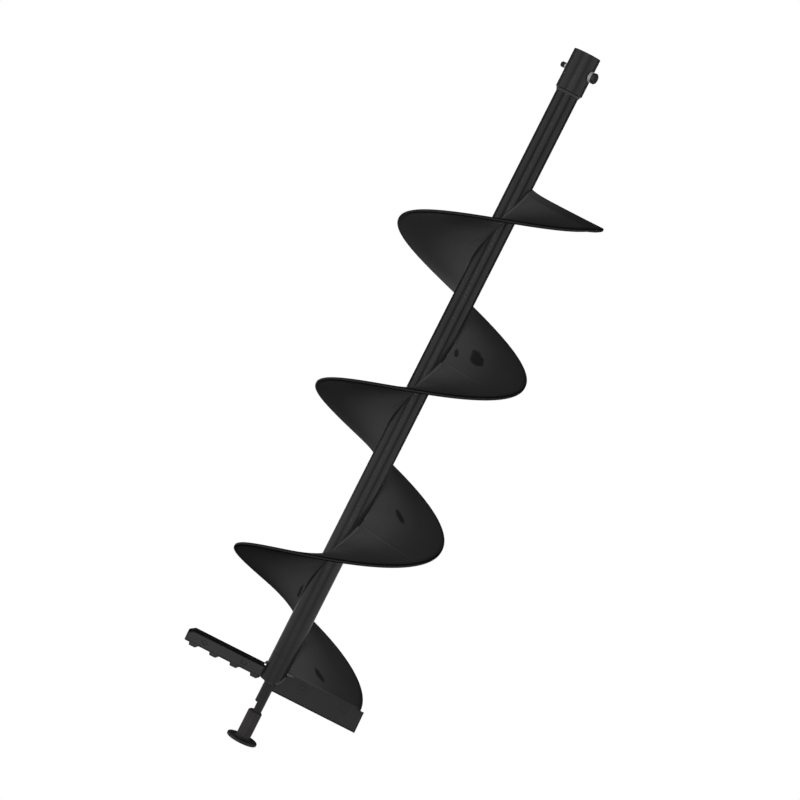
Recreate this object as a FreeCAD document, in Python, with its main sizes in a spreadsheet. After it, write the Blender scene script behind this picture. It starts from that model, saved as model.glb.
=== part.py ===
"""Soil auger bit: drive socket, stem, three-section flight, two cutting blades and a swivelling pilot foot.

Frame: the origin is the centre of the drive socket's mouth. +Z points up, out of the socket towards
the drive, so the whole auger hangs below z = 0. +X points along the plain blade. Lengths are
millimetres and angles are degrees.
"""

import FreeCAD, Part
import os

import Sketcher

# Each driving dimension: alias, value, meaning.
DIMENSIONS = (
    ("overall_length", 800, "socket mouth to the underside of the pilot foot"),
    ("fit_gap", 0.1, "gap left where two fixed pieces meet"),
    ("run_gap", 0.05, "radial running clearance of a turning or sliding fit"),
    ("side_gap", 0.4, "axial gap beside a turning piece"),
    # drive socket
    ("socket_step", 2.5, "how far the socket stands out from the stem all round"),
    ("socket_length", 45, "mouth to the lower shoulder"),
    ("socket_chamfer", 2.5, "bevel round the lower shoulder"),
    ("mouth_chamfer", 0.5, "edge break of the mouth, inside and outside"),
    ("bore_diameter", 20.1, "bore for a 20 mm output shaft"),
    ("bore_depth", 37, "mouth to the floor of the bore"),
    ("relief_depth", 0.5, "radial depth of the relief groove at the cross bolt"),
    ("relief_height", 12, "height of the relief groove"),
    ("spigot_length", 22, "socket spigot inside the stem tube"),
    # cross bolt
    ("bolt_drop", 20, "mouth to the bolt's axis"),
    ("bolt_turn", -28, "direction of the bolt's head, from +X towards -Y"),
    ("bolt_diameter", 6, "shank of the cross bolt"),
    ("bolt_end_reach", 22, "socket axis to the bolt's plain end"),
    ("bolt_head_flats", 10, "across flats of the hexagon head"),
    ("bolt_head_height", 4, "height of the hexagon head"),
    ("bolt_edge", 0.7, "bevel of the bolt's ends"),
    ("washer_diameter", 12, "outside of the plain washer"),
    ("washer_thickness", 1.2, "thickness of the plain washer"),
    ("spring_washer_diameter", 10.6, "outside of the spring washer"),
    ("spring_washer_thickness", 1.4, "thickness of the spring washer"),
    ("spring_washer_split", 1.2, "width of the spring washer's split"),
    # stem
    ("stem_diameter", 24.5, "outside of the stem tube"),
    ("stem_wall", 3, "wall of the stem tube"),
    ("weld_leg", 2.4, "leg of a fillet weld"),
    ("weld_break", 0.04, "turns left bare between the root welds of two sections"),
    # flight
    ("flight_diameter", 196, "outside of the flight"),
    ("flight_pitch", 190.8, "rise of the flight in one turn"),
    ("flight_turns", 2.905, "turns of the flight up to its flattened end"),
    ("flight_end_turns", 0.06, "turns of the flattened upper end"),
    ("flight_end_pitch", 115, "pitch of the flattened upper end"),
    ("flight_plate", 3.8, "true thickness of the flight's plate"),
    # blades
    ("pilot_reach", 85, "blade's rear edge down to the underside of the pilot foot"),
    ("blade_angle", 52, "slope of the blades below the horizontal"),
    ("blade_width", 26.2, "rear edge to cutting edge"),
    ("blade_thickness", 3, "thickness of both blades"),
    ("plain_reach", 102, "axis to the outer end of the plain blade"),
    ("toothed_reach", 101, "axis to the outer end of the toothed blade"),
    ("plain_start", 5, "axis to the inner end of the plain blade"),
    ("toothed_start", 14, "axis to the inner end of the toothed blade"),
    ("bevel_width", 4, "width of the plain blade's cutting bevel"),
    ("bevel_land", 0.4, "thickness left at the cutting edge"),
    ("tooth_height", 4.5, "height of a tooth"),
    ("tooth_width", 11, "width of a tooth at its root"),
    ("tooth_slope", 3, "run of a tooth's inner flank"),
    ("tooth_steep", 1, "run of a tooth's outer flank"),
    ("tooth_pitch", 24, "distance between teeth"),
    ("tooth_inset", 11, "outer end of the blade to the middle of the last tooth"),
    ("corner_cut", 6, "bevelled outer corner of the toothed blade"),
    ("holder_width", 16.5, "width of the blade holders"),
    ("holder_thickness", 3, "thickness of the blade holders"),
    ("holder_weld_arc", 50, "arc of the weld over the toothed blade's holder"),
    # blade screws
    ("screw_diameter", 5, "shank of the countersunk screws"),
    ("screw_head", 10, "head of the countersunk screws"),
    ("screw_inner", 34, "axis to the inner screw"),
    ("screw_outer", 80, "axis to the outer screw"),
    ("screw_line", 8.5, "rear edge of the blade to the screws"),
    ("key_flats", 3, "hexagon recess of the countersunk screws"),
    ("key_depth", 1.6, "depth of the hexagon recess"),
    # hub and pilot
    ("hub_collar", 30, "exposed length of the hub below the stem tube"),
    ("hub_reach", 70, "hub's lower face to the underside of the pilot foot"),
    ("hub_spigot", 24, "hub spigot inside the stem tube"),
    ("rod_diameter", 12, "pilot rod"),
    ("rod_seat", 24, "length of the rod inside the hub"),
    ("rod_weld_leg", 1.7, "leg of the weld between rod and hub"),
    ("rod_flat_depth", 3, "depth of the flat milled in the rod"),
    ("rod_flat_length", 9.5, "height of the flat milled in the rod"),
    ("journal_diameter", 9, "journal that the pilot sleeve turns on"),
    ("sleeve_diameter", 15.6, "outside of the pilot sleeve"),
    ("sleeve_length", 28.5, "length of the pilot sleeve"),
    ("sleeve_chamfer", 1.6, "bevel of the sleeve's upper end"),
    ("foot_diameter", 34, "outside of the pilot foot"),
    ("foot_rim", 3.6, "thickness of the foot's rim"),
    ("foot_round", 0.8, "rounding of the foot's rim"),
    ("foot_land", 1.2, "flat ring on top of the foot's rim"),
    ("foot_dish", 1.2, "depth of the hollow round the foot's hub"),
    ("foot_dish_slope", 2.4, "run of that hollow's inner slope"),
    ("foot_hub_height", 6.6, "underside of the foot to the sleeve"),
    ("foot_hub_step", 1, "how far the foot's hub stands out under the sleeve"),
    ("foot_neck_step", 0.6, "how far the hub's neck is turned down inside the sleeve's edge"),
    ("foot_neck_height", 0.8, "height of the hub's neck"),
    ("recess_diameter", 13, "recess for the washer in the foot's underside"),
    ("recess_depth", 4.4, "depth of that recess"),
    ("keeper_diameter", 12, "retaining washer of the foot"),
    ("keeper_thickness", 1.2, "thickness of the retaining washer"),
    ("keeper_screw", 5, "shank of the retaining screw"),
    ("keeper_screw_length", 14, "length of the retaining screw's shank"),
    ("keeper_head_diameter", 9.2, "head of the retaining screw"),
    ("keeper_head_height", 2.2, "height of the retaining screw's head"),
    ("keeper_head_edge", 0.5, "bevel of the retaining screw's head"),
)

# Levels and radii that several pieces share, as expressions of the sheet's cells.
STEM_RADIUS = "Sizes.stem_diameter / 2"
SOCKET_RADIUS = "(Sizes.stem_diameter / 2 + Sizes.socket_step)"
TUBE_BORE = "(Sizes.stem_diameter / 2 - Sizes.stem_wall)"
FOOT_LEVEL = "-Sizes.overall_length"
EDGE_LEVEL = "(Sizes.pilot_reach - Sizes.overall_length)"
HUB_LEVEL = "(Sizes.hub_reach - Sizes.overall_length)"
STEM_END_LEVEL = f"({HUB_LEVEL} + Sizes.hub_collar)"
STACK = "(Sizes.blade_thickness + Sizes.holder_thickness + Sizes.fit_gap)"
SLEEVE_TOP = "(Sizes.foot_hub_height + Sizes.sleeve_length)"
HEAD_SEAT = (
    f"({SOCKET_RADIUS} + Sizes.washer_thickness + Sizes.spring_washer_thickness"
    " + 3 * Sizes.fit_gap)"
)

# Share of the way from stem to rim at which the flight's section has a corner.
SECTION_SHARES = (0.0, 0.08, 0.25, 1.0)
# Teeth along the toothed blade.
TOOTH_COUNT = 4
# How far a cutting shape reaches past what it cuts.
CUT_BEYOND = 20

document = FreeCAD.newDocument("soil_auger")
sheet = document.addObject("Spreadsheet::Sheet", "Sizes")
sub_parts = []


def fill_sheet():
    """Write each driving dimension in its own row: name, value and meaning."""
    for row, (alias, value, meaning) in enumerate(DIMENSIONS, start=1):
        sheet.set(f"A{row}", alias)
        sheet.set(f"B{row}", str(value))
        sheet.set(f"C{row}", meaning)
        sheet.setAlias(f"B{row}", alias)
    document.recompute()


def size(expression):
    """The present value of an expression of the sheet's cells."""
    return float(FreeCAD.Units.Quantity(str(sheet.evalExpression(expression))).Value)


def vertical_half(radius):
    """Half of the flight plate's height at a radius: the plate leans more the nearer it is to the stem."""
    lean = f"Sizes.flight_pitch / (2 * pi * ({radius}))"
    return f"Sizes.flight_plate / 2 * sqrt(1 + ({lean})^2)"


def keep(shape_object, label):
    """Register an object as a sub-part: its label names its file."""
    shape_object.Label = label
    sub_parts.append(shape_object)
    return shape_object


def place(target, level="0", turn="0", tilt="0", across="0", forward="0"):
    """Bind a placement: tilt about X first, then turn about Z, then the move to its place."""
    turned = f"rotation(vector(0; 0; 1); {turn}) * rotation(vector(1; 0; 0); {tilt})"
    target.setExpression(
        "Placement",
        f"placement(vector({across}; {forward}; {level}); {turned})",
    )


def origin_plane(body, role):
    """A body's own origin plane, found by its role."""
    return next(item for item in body.Origin.OriginFeatures if item.Role == role)


def new_sketch(body, name, role):
    """An empty sketch on one of the body's origin planes."""
    sketch = body.newObject("Sketcher::SketchObject", name)
    sketch.AttachmentSupport = [(origin_plane(body, role), "")]
    sketch.MapMode = "FlatFace"
    return sketch


def pin_point(sketch, geometry, position, across, along):
    """Hold a point of a sketch at (across, along), each an expression."""
    for kind, expression in (("DistanceX", across), ("DistanceY", along)):
        rule = Sketcher.Constraint(kind, -1, 1, geometry, position, size(expression))
        number = sketch.addConstraint(rule)
        sketch.setExpression(f"Constraints[{number}]", expression)


def draw_outline(sketch, corners):
    """A closed outline of straight lines through corners given as (across, along) expressions."""
    first = sketch.GeometryCount
    points = [FreeCAD.Vector(size(across), size(along), 0) for across, along in corners]
    count = len(points)
    for index in range(count):
        sketch.addGeometry(Part.LineSegment(points[index], points[(index + 1) % count]), False)
    for index in range(count):
        follower = first + (index + 1) % count
        sketch.addConstraint(Sketcher.Constraint("Coincident", first + index, 2, follower, 1))
    for index, (across, along) in enumerate(corners):
        pin_point(sketch, first + index, 1, across, along)


def draw_circle(sketch, across, along, radius):
    """A circle whose centre and radius are expressions."""
    centre = FreeCAD.Vector(size(across), size(along), 0)
    number = sketch.addGeometry(Part.Circle(centre, FreeCAD.Vector(0, 0, 1), size(radius)), False)
    pin_point(sketch, number, 3, across, along)
    rule = sketch.addConstraint(Sketcher.Constraint("Radius", number, size(radius)))
    sketch.setExpression(f"Constraints[{rule}]", radius)


def new_body(name):
    """A new PartDesign body."""
    return document.addObject("PartDesign::Body", name)


def turned_body(name, corners):
    """A body of revolution about its own Z axis, from (radius, height) corners."""
    body = new_body(name)
    sketch = new_sketch(body, f"{name}_profile", "XZ_Plane")
    draw_outline(sketch, corners)
    solid = body.newObject("PartDesign::Revolution", f"{name}_turned")
    solid.Profile = sketch
    solid.ReferenceAxis = (sketch, ["V_Axis"])
    solid.Angle = 360
    document.recompute()
    return body


def swept_body(name, corners, turns):
    """A body swept up the flight's helix, from (radius, height) corners at its lower end."""
    body = new_body(name)
    sketch = new_sketch(body, f"{name}_profile", "XZ_Plane")
    draw_outline(sketch, corners)
    helix = body.newObject("PartDesign::AdditiveHelix", f"{name}_helix")
    helix.Profile = (sketch, [""])
    helix.ReferenceAxis = (sketch, ["V_Axis"])
    helix.Mode = "pitch-turns-angle"
    helix.setExpression("Pitch", "Sizes.flight_pitch")
    helix.setExpression("Turns", turns)
    document.recompute()
    return body


def plate_body(name, corners, bottom, thickness):
    """A flat plate: an outline on the XY plane, lifted to bottom and padded upwards."""
    body = new_body(name)
    sketch = new_sketch(body, f"{name}_outline", "XY_Plane")
    sketch.setExpression(
        "AttachmentOffset",
        f"placement(vector(0; 0; {bottom}); rotation(vector(0; 0; 1); 0))",
    )
    draw_outline(sketch, corners)
    pad = body.newObject("PartDesign::Pad", f"{name}_plate")
    pad.Profile = sketch
    pad.setExpression("Length", thickness)
    document.recompute()
    return body


def pocket_through(body, name, role, draw):
    """Cut a sketch through the whole body both ways, and insist that it removed material."""
    before = body.Shape.Volume
    sketch = new_sketch(body, f"{name}_sketch", role)
    draw(sketch)
    pocket = body.newObject("PartDesign::Pocket", name)
    pocket.Profile = sketch
    pocket.Type = "ThroughAll"
    pocket.SideType = "Symmetric"
    document.recompute()
    if body.Shape.Volume >= before:
        raise RuntimeError(f"{name} removed nothing")
    return pocket


def regular_hexagon(flats):
    """Corners of a hexagon about the origin, from its width across flats."""
    half = f"({flats}) / 2"
    far = f"({flats}) / sqrt(3)"
    near = f"({flats}) / (2 * sqrt(3))"
    return [
        (far, "0"), (near, half), (f"-{near}", half),
        (f"-{far}", "0"), (f"-{near}", f"-{half}"), (near, f"-{half}"),
    ]


# ---------------------------------------------------------------- drive end


def make_drive_socket():
    """Turned socket: bore with a relief groove at the bolt, shoulder, and a spigot into the stem."""
    outer = SOCKET_RADIUS
    bore = "Sizes.bore_diameter / 2"
    relief = "(Sizes.bore_diameter / 2 + Sizes.relief_depth)"
    spigot = f"({TUBE_BORE} - Sizes.fit_gap)"
    groove_top = "-(Sizes.bolt_drop - Sizes.relief_height / 2)"
    groove_bottom = "-(Sizes.bolt_drop + Sizes.relief_height / 2)"
    shoulder = "-Sizes.socket_length"
    body = turned_body("drive_socket", [
        (f"{bore} + Sizes.mouth_chamfer", "0"),
        (f"{outer} - Sizes.mouth_chamfer", "0"),
        (outer, "-Sizes.mouth_chamfer"),
        (outer, f"{shoulder} + Sizes.socket_chamfer"),
        (f"{outer} - Sizes.socket_chamfer + Sizes.fit_gap", shoulder),
        (spigot, shoulder),
        (spigot, f"{shoulder} - Sizes.spigot_length"),
        ("0", f"{shoulder} - Sizes.spigot_length"),
        ("0", "-Sizes.bore_depth"),
        (bore, "-Sizes.bore_depth"),
        (bore, groove_bottom),
        (relief, groove_bottom),
        (relief, groove_top),
        (bore, groove_top),
        (bore, "-Sizes.mouth_chamfer"),
    ])
    bolt_radius = "Sizes.bolt_diameter / 2 + Sizes.run_gap"
    pocket_through(
        body, "bolt_hole", "YZ_Plane",
        lambda sketch: draw_circle(sketch, "0", "-Sizes.bolt_drop", bolt_radius),
    )
    place(body, turn="Sizes.bolt_turn")
    keep(body, "drive_socket")


def make_socket_weld():
    """Fillet weld round the stem, under the socket's shoulder."""
    root = f"{STEM_RADIUS} + Sizes.fit_gap"
    top = "-(Sizes.socket_length + Sizes.fit_gap)"
    body = turned_body("socket_weld", [
        (root, top),
        (root, f"{top} - Sizes.weld_leg"),
        (f"{root} + Sizes.weld_leg / 2", top),
    ])
    keep(body, "socket_weld")


def place_on_bolt_axis(target, reach):
    """Stand a piece made along Z on the bolt's axis, its own z = 0 at reach from the socket's axis."""
    target.setExpression(
        "Placement",
        "placement("
        f"vector(({reach}) * cos(Sizes.bolt_turn); ({reach}) * sin(Sizes.bolt_turn); -Sizes.bolt_drop); "
        "rotation(vector(0; 0; 1); Sizes.bolt_turn) * rotation(vector(0; 1; 0); 90))",
    )


def make_cross_bolt():
    """Hexagon-head bolt. Its own z = 0 is the head's seat and the shank runs down -Z."""
    shank = "Sizes.bolt_diameter / 2"
    length = f"({HEAD_SEAT} + Sizes.bolt_end_reach)"
    body = turned_body("cross_bolt", [
        ("0", "0"),
        (shank, "0"),
        (shank, f"-({length} - Sizes.bolt_edge)"),
        (f"{shank} - Sizes.bolt_edge", f"-{length}"),
        ("0", f"-{length}"),
    ])
    sketch = new_sketch(body, "head_outline", "XY_Plane")
    draw_outline(sketch, regular_hexagon("Sizes.bolt_head_flats"))
    head = body.newObject("PartDesign::Pad", "head")
    head.Profile = sketch
    head.setExpression("Length", "Sizes.bolt_head_height")
    document.recompute()
    crown = new_sketch(body, "crown_profile", "XZ_Plane")
    corner = "Sizes.bolt_head_flats / sqrt(3)"
    draw_outline(crown, [
        ("Sizes.bolt_head_flats / 2 - Sizes.bolt_edge / 2", "Sizes.bolt_head_height + Sizes.fit_gap"),
        (f"{corner} + Sizes.bolt_edge", "Sizes.bolt_head_height - Sizes.bolt_edge"),
        (f"{corner} + Sizes.bolt_edge", "Sizes.bolt_head_height + Sizes.fit_gap"),
    ])
    before = body.Shape.Volume
    groove = body.newObject("PartDesign::Groove", "crown")
    groove.Profile = crown
    groove.ReferenceAxis = (crown, ["V_Axis"])
    groove.Angle = 360
    document.recompute()
    if body.Shape.Volume >= before:
        raise RuntimeError("crown removed nothing")
    place_on_bolt_axis(body, HEAD_SEAT)
    keep(body, "cross_bolt")


def make_bolt_washers():
    """Plain washer against the socket and a split spring washer under the bolt's head."""
    hole = "Sizes.bolt_diameter / 2 + Sizes.run_gap"
    plain = turned_body("cross_bolt_washer", [
        (hole, "0"),
        ("Sizes.washer_diameter / 2", "0"),
        ("Sizes.washer_diameter / 2", "Sizes.washer_thickness"),
        (hole, "Sizes.washer_thickness"),
    ])
    seat = f"({SOCKET_RADIUS} + Sizes.fit_gap)"
    place_on_bolt_axis(plain, seat)
    keep(plain, "cross_bolt_washer")
    spring = turned_body("cross_bolt_spring_washer", [
        (hole, "0"),
        ("Sizes.spring_washer_diameter / 2", "0"),
        ("Sizes.spring_washer_diameter / 2", "Sizes.spring_washer_thickness"),
        (hole, "Sizes.spring_washer_thickness"),
    ])
    half = "Sizes.spring_washer_split / 2"
    pocket_through(
        spring, "washer_split", "XY_Plane",
        lambda sketch: draw_outline(sketch, [
            ("0", f"-{half}"),
            ("Sizes.spring_washer_diameter", f"-{half}"),
            ("Sizes.spring_washer_diameter", half),
            ("0", half),
        ]),
    )
    place_on_bolt_axis(spring, f"{seat} + Sizes.washer_thickness + Sizes.fit_gap")
    keep(spring, "cross_bolt_spring_washer")


# ---------------------------------------------------------------- stem and flight


def make_stem_tube():
    """Tube between the socket's shoulder and the hub's collar."""
    top = "-(Sizes.socket_length + Sizes.fit_gap)"
    bottom = f"{STEM_END_LEVEL} + Sizes.fit_gap"
    body = turned_body("stem_tube", [
        (TUBE_BORE, bottom),
        (STEM_RADIUS, bottom),
        (STEM_RADIUS, top),
        (TUBE_BORE, top),
    ])
    keep(body, "stem_tube")


def flight_section():
    """Corners of the plate's section: it stands taller near the stem, where the helix is steeper."""
    root = f"({STEM_RADIUS} + Sizes.fit_gap)"
    span = f"(Sizes.flight_diameter / 2 - {root})"
    radii = [f"{root} + {share} * {span}" for share in SECTION_SHARES]
    lower = [(radius, f"-({vertical_half(radius)})") for radius in radii]
    upper = [(radius, vertical_half(radius)) for radius in reversed(radii)]
    return lower + upper


def make_flight():
    """Three sections welded end to end. The lower one starts on the plain blade's rear edge."""
    whole = "1"
    rest = "(Sizes.flight_turns - 2)"
    sections = (
        ("flight_lower", rest, "0"),
        ("flight_middle", whole, rest),
        ("flight_upper", whole, f"({rest} + 1)"),
    )
    for label, turns, start in sections:
        body = swept_body(label, flight_section(), turns)
        if label == "flight_lower":
            trim_to_blade(body)
        if label == "flight_upper":
            flatten_end(body)
        place(body, level=f"{EDGE_LEVEL} + {start} * Sizes.flight_pitch", turn=f"360 * {start}")
        keep(body, label)


def flatten_end(body):
    """Carry the upper section on round the stem at a lower pitch, where its free end lies flatter."""
    sketch = new_sketch(body, "flat_end_profile", "XZ_Plane")
    draw_outline(sketch, flight_section())
    sketch.setExpression(
        "AttachmentOffset",
        "placement(vector(0; Sizes.flight_pitch; 0); rotation(vector(0; 1; 0); 0))",
    )
    helix = body.newObject("PartDesign::AdditiveHelix", "flat_end_helix")
    helix.Profile = (sketch, [""])
    helix.ReferenceAxis = (sketch, ["V_Axis"])
    helix.Mode = "pitch-turns-angle"
    helix.setExpression("Pitch", "Sizes.flight_end_pitch")
    helix.setExpression("Turns", "Sizes.flight_end_turns")
    document.recompute()


def trim_to_blade(body):
    """Bevel the flight's lower end to meet the rear edge of the blade and its holder."""
    top = "(2 * Sizes.fit_gap)"
    back = f"({STACK} * sin(Sizes.blade_angle) + 2 * Sizes.fit_gap)"
    down = f"({STACK} * cos(Sizes.blade_angle))"
    pocket_through(
        body, "blade_cope", "YZ_Plane",
        lambda sketch: draw_outline(sketch, [
            (f"-{CUT_BEYOND}", top),
            ("Sizes.fit_gap", top),
            (back, f"{top} - {down}"),
            (back, f"{top} - {CUT_BEYOND}"),
            (f"-{CUT_BEYOND}", f"{top} - {CUT_BEYOND}"),
        ]),
    )


def make_root_welds():
    """Fillet bead along the upper root of each flight section."""
    root = f"({STEM_RADIUS} + Sizes.fit_gap)"
    base = f"({vertical_half(root)} + Sizes.fit_gap)"
    bare = "Sizes.weld_break"
    beads = []
    for number in range(3):
        turns = f"(Sizes.flight_turns - 2 - 2 * {bare})" if number == 0 else f"(1 - {bare})"
        start = bare if number == 0 else f"(Sizes.flight_turns - 3 + {number})"
        bead = swept_body(f"root_bead_{number}", [
            (root, base),
            (f"{root} + Sizes.weld_leg", base),
            (root, f"{base} + 2 * Sizes.weld_leg"),
        ], turns)
        place(bead, level=f"{EDGE_LEVEL} + {start} * Sizes.flight_pitch", turn=f"360 * {start}")
        beads.append(bead)
    group = document.addObject("Part::Compound", "flight_root_welds")
    group.Links = beads
    keep(group, "flight_root_welds")


# ---------------------------------------------------------------- blades


def on_blade_seat(target, side):
    """Place a flat piece, its rear edge on its own y = 0 and its top on z = 0, on a blade seat."""
    turn = "0" if side == "plain" else "180"
    sign = "-" if side == "plain" else ""
    place(
        target, level=EDGE_LEVEL, turn=turn, tilt="Sizes.blade_angle",
        forward=f"{sign}Sizes.fit_gap",
    )


def coped(name, blank, clearance):
    """The blank with a round cope that clears the hub."""
    cutter = document.addObject("Part::Cylinder", f"{name}_hub_cutter")
    cutter.setExpression("Radius", f"{STEM_RADIUS} + {clearance}")
    cutter.setExpression("Height", f"4 * {CUT_BEYOND}")
    place(cutter, level=f"{EDGE_LEVEL} - 3 * {CUT_BEYOND}")
    result = document.addObject("Part::Cut", name)
    result.Base = blank
    result.Tool = cutter
    document.recompute()
    return result


def screw_places():
    """Where the two screws of a blade stand, as (across, along) expressions."""
    return [("Sizes.screw_inner", "-Sizes.screw_line"), ("Sizes.screw_outer", "-Sizes.screw_line")]


def drill(body, name, radius):
    """Two through holes at the screws' places."""
    def draw(sketch):
        for across, along in screw_places():
            draw_circle(sketch, across, along, radius)

    pocket_through(body, name, "XY_Plane", draw)


def countersink(body, name):
    """Bevel the upper rim of each screw hole to take the screw's head."""
    drilled = body.Tip
    rims = []
    for number, edge in enumerate(body.Shape.Edges, start=1):
        round_edge = edge.Curve.TypeId == "Part::GeomCircle"
        if round_edge and abs(edge.CenterOfMass.z) < size("Sizes.fit_gap"):
            rims.append(f"Edge{number}")
    bevel = body.newObject("PartDesign::Chamfer", name)
    bevel.Base = (drilled, rims)
    bevel.setExpression("Size", "(Sizes.screw_head - Sizes.screw_diameter) / 2")
    document.recompute()


def make_holders():
    """Holder plates, welded to the hub under the blades' rear halves."""
    bottom = f"-{STACK}"
    rear = "0"
    front = "-Sizes.holder_width"
    inner = "Sizes.plain_start"
    outer = "Sizes.plain_reach"
    plain_corners = [(inner, front), (outer, front), (outer, rear), (inner, rear)]
    outer = "Sizes.toothed_reach"
    toothed_corners = [
        (inner, front),
        (outer, front),
        (outer, "-Sizes.corner_cut"),
        (f"{outer} - Sizes.corner_cut", rear),
        (inner, rear),
    ]
    for side, corners in (("plain", plain_corners), ("toothed", toothed_corners)):
        label = f"{side}_blade_holder"
        blank = plate_body(f"{label}_blank", corners, bottom, "Sizes.holder_thickness")
        drill(blank, f"{label}_holes", "Sizes.screw_diameter / 2 + Sizes.fit_gap")
        on_blade_seat(blank, side)
        keep(coped(label, blank, "Sizes.fit_gap"), label)


def make_plain_blade():
    """Straight-edged blade with a bevel ground on its underside."""
    inner = "Sizes.plain_start"
    outer = "Sizes.plain_reach"
    front = "-Sizes.blade_width"
    corners = [(inner, front), (outer, front), (outer, "0"), (inner, "0")]
    blank = plate_body("plain_blade_blank", corners, "-Sizes.blade_thickness", "Sizes.blade_thickness")
    drill(blank, "plain_blade_holes", "Sizes.screw_diameter / 2 + Sizes.fit_gap")
    countersink(blank, "plain_blade_countersinks")
    low = "-Sizes.blade_thickness"
    pocket_through(
        blank, "cutting_bevel", "YZ_Plane",
        lambda sketch: draw_outline(sketch, [
            (f"{front} + Sizes.bevel_width", low),
            (front, "-Sizes.bevel_land"),
            (f"{front} - Sizes.bevel_width", "-Sizes.bevel_land"),
            (f"{front} - Sizes.bevel_width", f"{low} - Sizes.bevel_land"),
            (f"{front} + Sizes.bevel_width", f"{low} - Sizes.bevel_land"),
        ]),
    )
    on_blade_seat(blank, "plain")
    keep(coped("plain_blade", blank, "Sizes.side_gap"), "plain_blade")


def make_toothed_blade():
    """Blade with four teeth along its cutting edge and a bevelled outer corner."""
    inner = "Sizes.toothed_start"
    outer = "Sizes.toothed_reach"
    tip = "-Sizes.blade_width"
    valley = "(Sizes.tooth_height - Sizes.blade_width)"
    corners = [(inner, "0"), (inner, valley)]
    for number in reversed(range(TOOTH_COUNT)):
        middle = f"(Sizes.toothed_reach - Sizes.tooth_inset - {number} * Sizes.tooth_pitch)"
        corners += [
            (f"{middle} - Sizes.tooth_width / 2", valley),
            (f"{middle} - Sizes.tooth_width / 2 + Sizes.tooth_slope", tip),
            (f"{middle} + Sizes.tooth_width / 2 - Sizes.tooth_steep", tip),
            (f"{middle} + Sizes.tooth_width / 2", valley),
        ]
    corners += [
        (outer, valley),
        (outer, "-Sizes.corner_cut"),
        (f"{outer} - Sizes.corner_cut", "0"),
    ]
    blank = plate_body("toothed_blade_blank", corners, "-Sizes.blade_thickness", "Sizes.blade_thickness")
    drill(blank, "toothed_blade_holes", "Sizes.screw_diameter / 2 + Sizes.fit_gap")
    countersink(blank, "toothed_blade_countersinks")
    on_blade_seat(blank, "toothed")
    keep(coped("toothed_blade", blank, "Sizes.side_gap"), "toothed_blade")


def make_blade_screws():
    """Two countersunk hexagon-socket screws for each blade, their heads flush with its top."""
    head = "(Sizes.screw_head / 2 - Sizes.fit_gap)"
    shank = "Sizes.screw_diameter / 2"
    for side in ("plain", "toothed"):
        screws = []
        for number, (across, along) in enumerate(screw_places()):
            name = f"{side}_screw_{number}"
            screw = turned_body(name, [
                ("0", "-Sizes.fit_gap"),
                (head, "-Sizes.fit_gap"),
                (shank, f"-Sizes.fit_gap - {head} + {shank}"),
                (shank, f"-{STACK}"),
                ("0", f"-{STACK}"),
            ])
            cut_key(screw, f"{name}_key")
            place(screw, across=across, forward=along)
            screws.append(screw)
        group = document.addObject("Part::Compound", f"{side}_blade_screws")
        group.Links = screws
        on_blade_seat(group, side)
        keep(group, f"{side}_blade_screws")


def cut_key(body, name):
    """Hexagon recess in the top of a screw's head."""
    before = body.Shape.Volume
    sketch = new_sketch(body, f"{name}_outline", "XY_Plane")
    draw_outline(sketch, regular_hexagon("Sizes.key_flats"))
    recess = body.newObject("PartDesign::Pocket", name)
    recess.Profile = sketch
    recess.setExpression("Length", "Sizes.key_depth + Sizes.fit_gap")
    document.recompute()
    if body.Shape.Volume >= before:
        recess.Reversed = True
        document.recompute()
    if body.Shape.Volume >= before:
        raise RuntimeError(f"{name} removed nothing")


# ---------------------------------------------------------------- hub and pilot


def make_hub_plug():
    """Solid lower end of the stem: spigot, collar, and a blind seat for the pilot rod."""
    seat = "Sizes.rod_diameter / 2 + Sizes.run_gap"
    spigot = f"({TUBE_BORE} - Sizes.fit_gap)"
    body = turned_body("hub_plug", [
        (seat, "0"),
        (STEM_RADIUS, "0"),
        (STEM_RADIUS, "Sizes.hub_collar"),
        (spigot, "Sizes.hub_collar"),
        (spigot, "Sizes.hub_collar + Sizes.hub_spigot"),
        ("0", "Sizes.hub_collar + Sizes.hub_spigot"),
        ("0", "Sizes.rod_seat + Sizes.fit_gap"),
        (seat, "Sizes.rod_seat + Sizes.fit_gap"),
    ])
    place(body, level=HUB_LEVEL)
    keep(body, "hub_plug")


def make_holder_weld():
    """Fillet weld on the hub, over the toothed blade's holder."""
    root = f"({STEM_RADIUS} + Sizes.fit_gap)"
    body = new_body("holder_weld")
    sketch = new_sketch(body, "holder_weld_profile", "XZ_Plane")
    draw_outline(sketch, [
        (root, "Sizes.fit_gap"),
        (f"{root} + Sizes.weld_leg", "Sizes.fit_gap"),
        (root, "Sizes.fit_gap + Sizes.weld_leg"),
    ])
    bead = body.newObject("PartDesign::Revolution", "holder_weld_turned")
    bead.Profile = sketch
    bead.ReferenceAxis = (sketch, ["V_Axis"])
    bead.Midplane = True
    bead.setExpression("Angle", "Sizes.holder_weld_arc")
    document.recompute()
    place(body, level=EDGE_LEVEL, turn="180")
    keep(body, "holder_weld")


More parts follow.
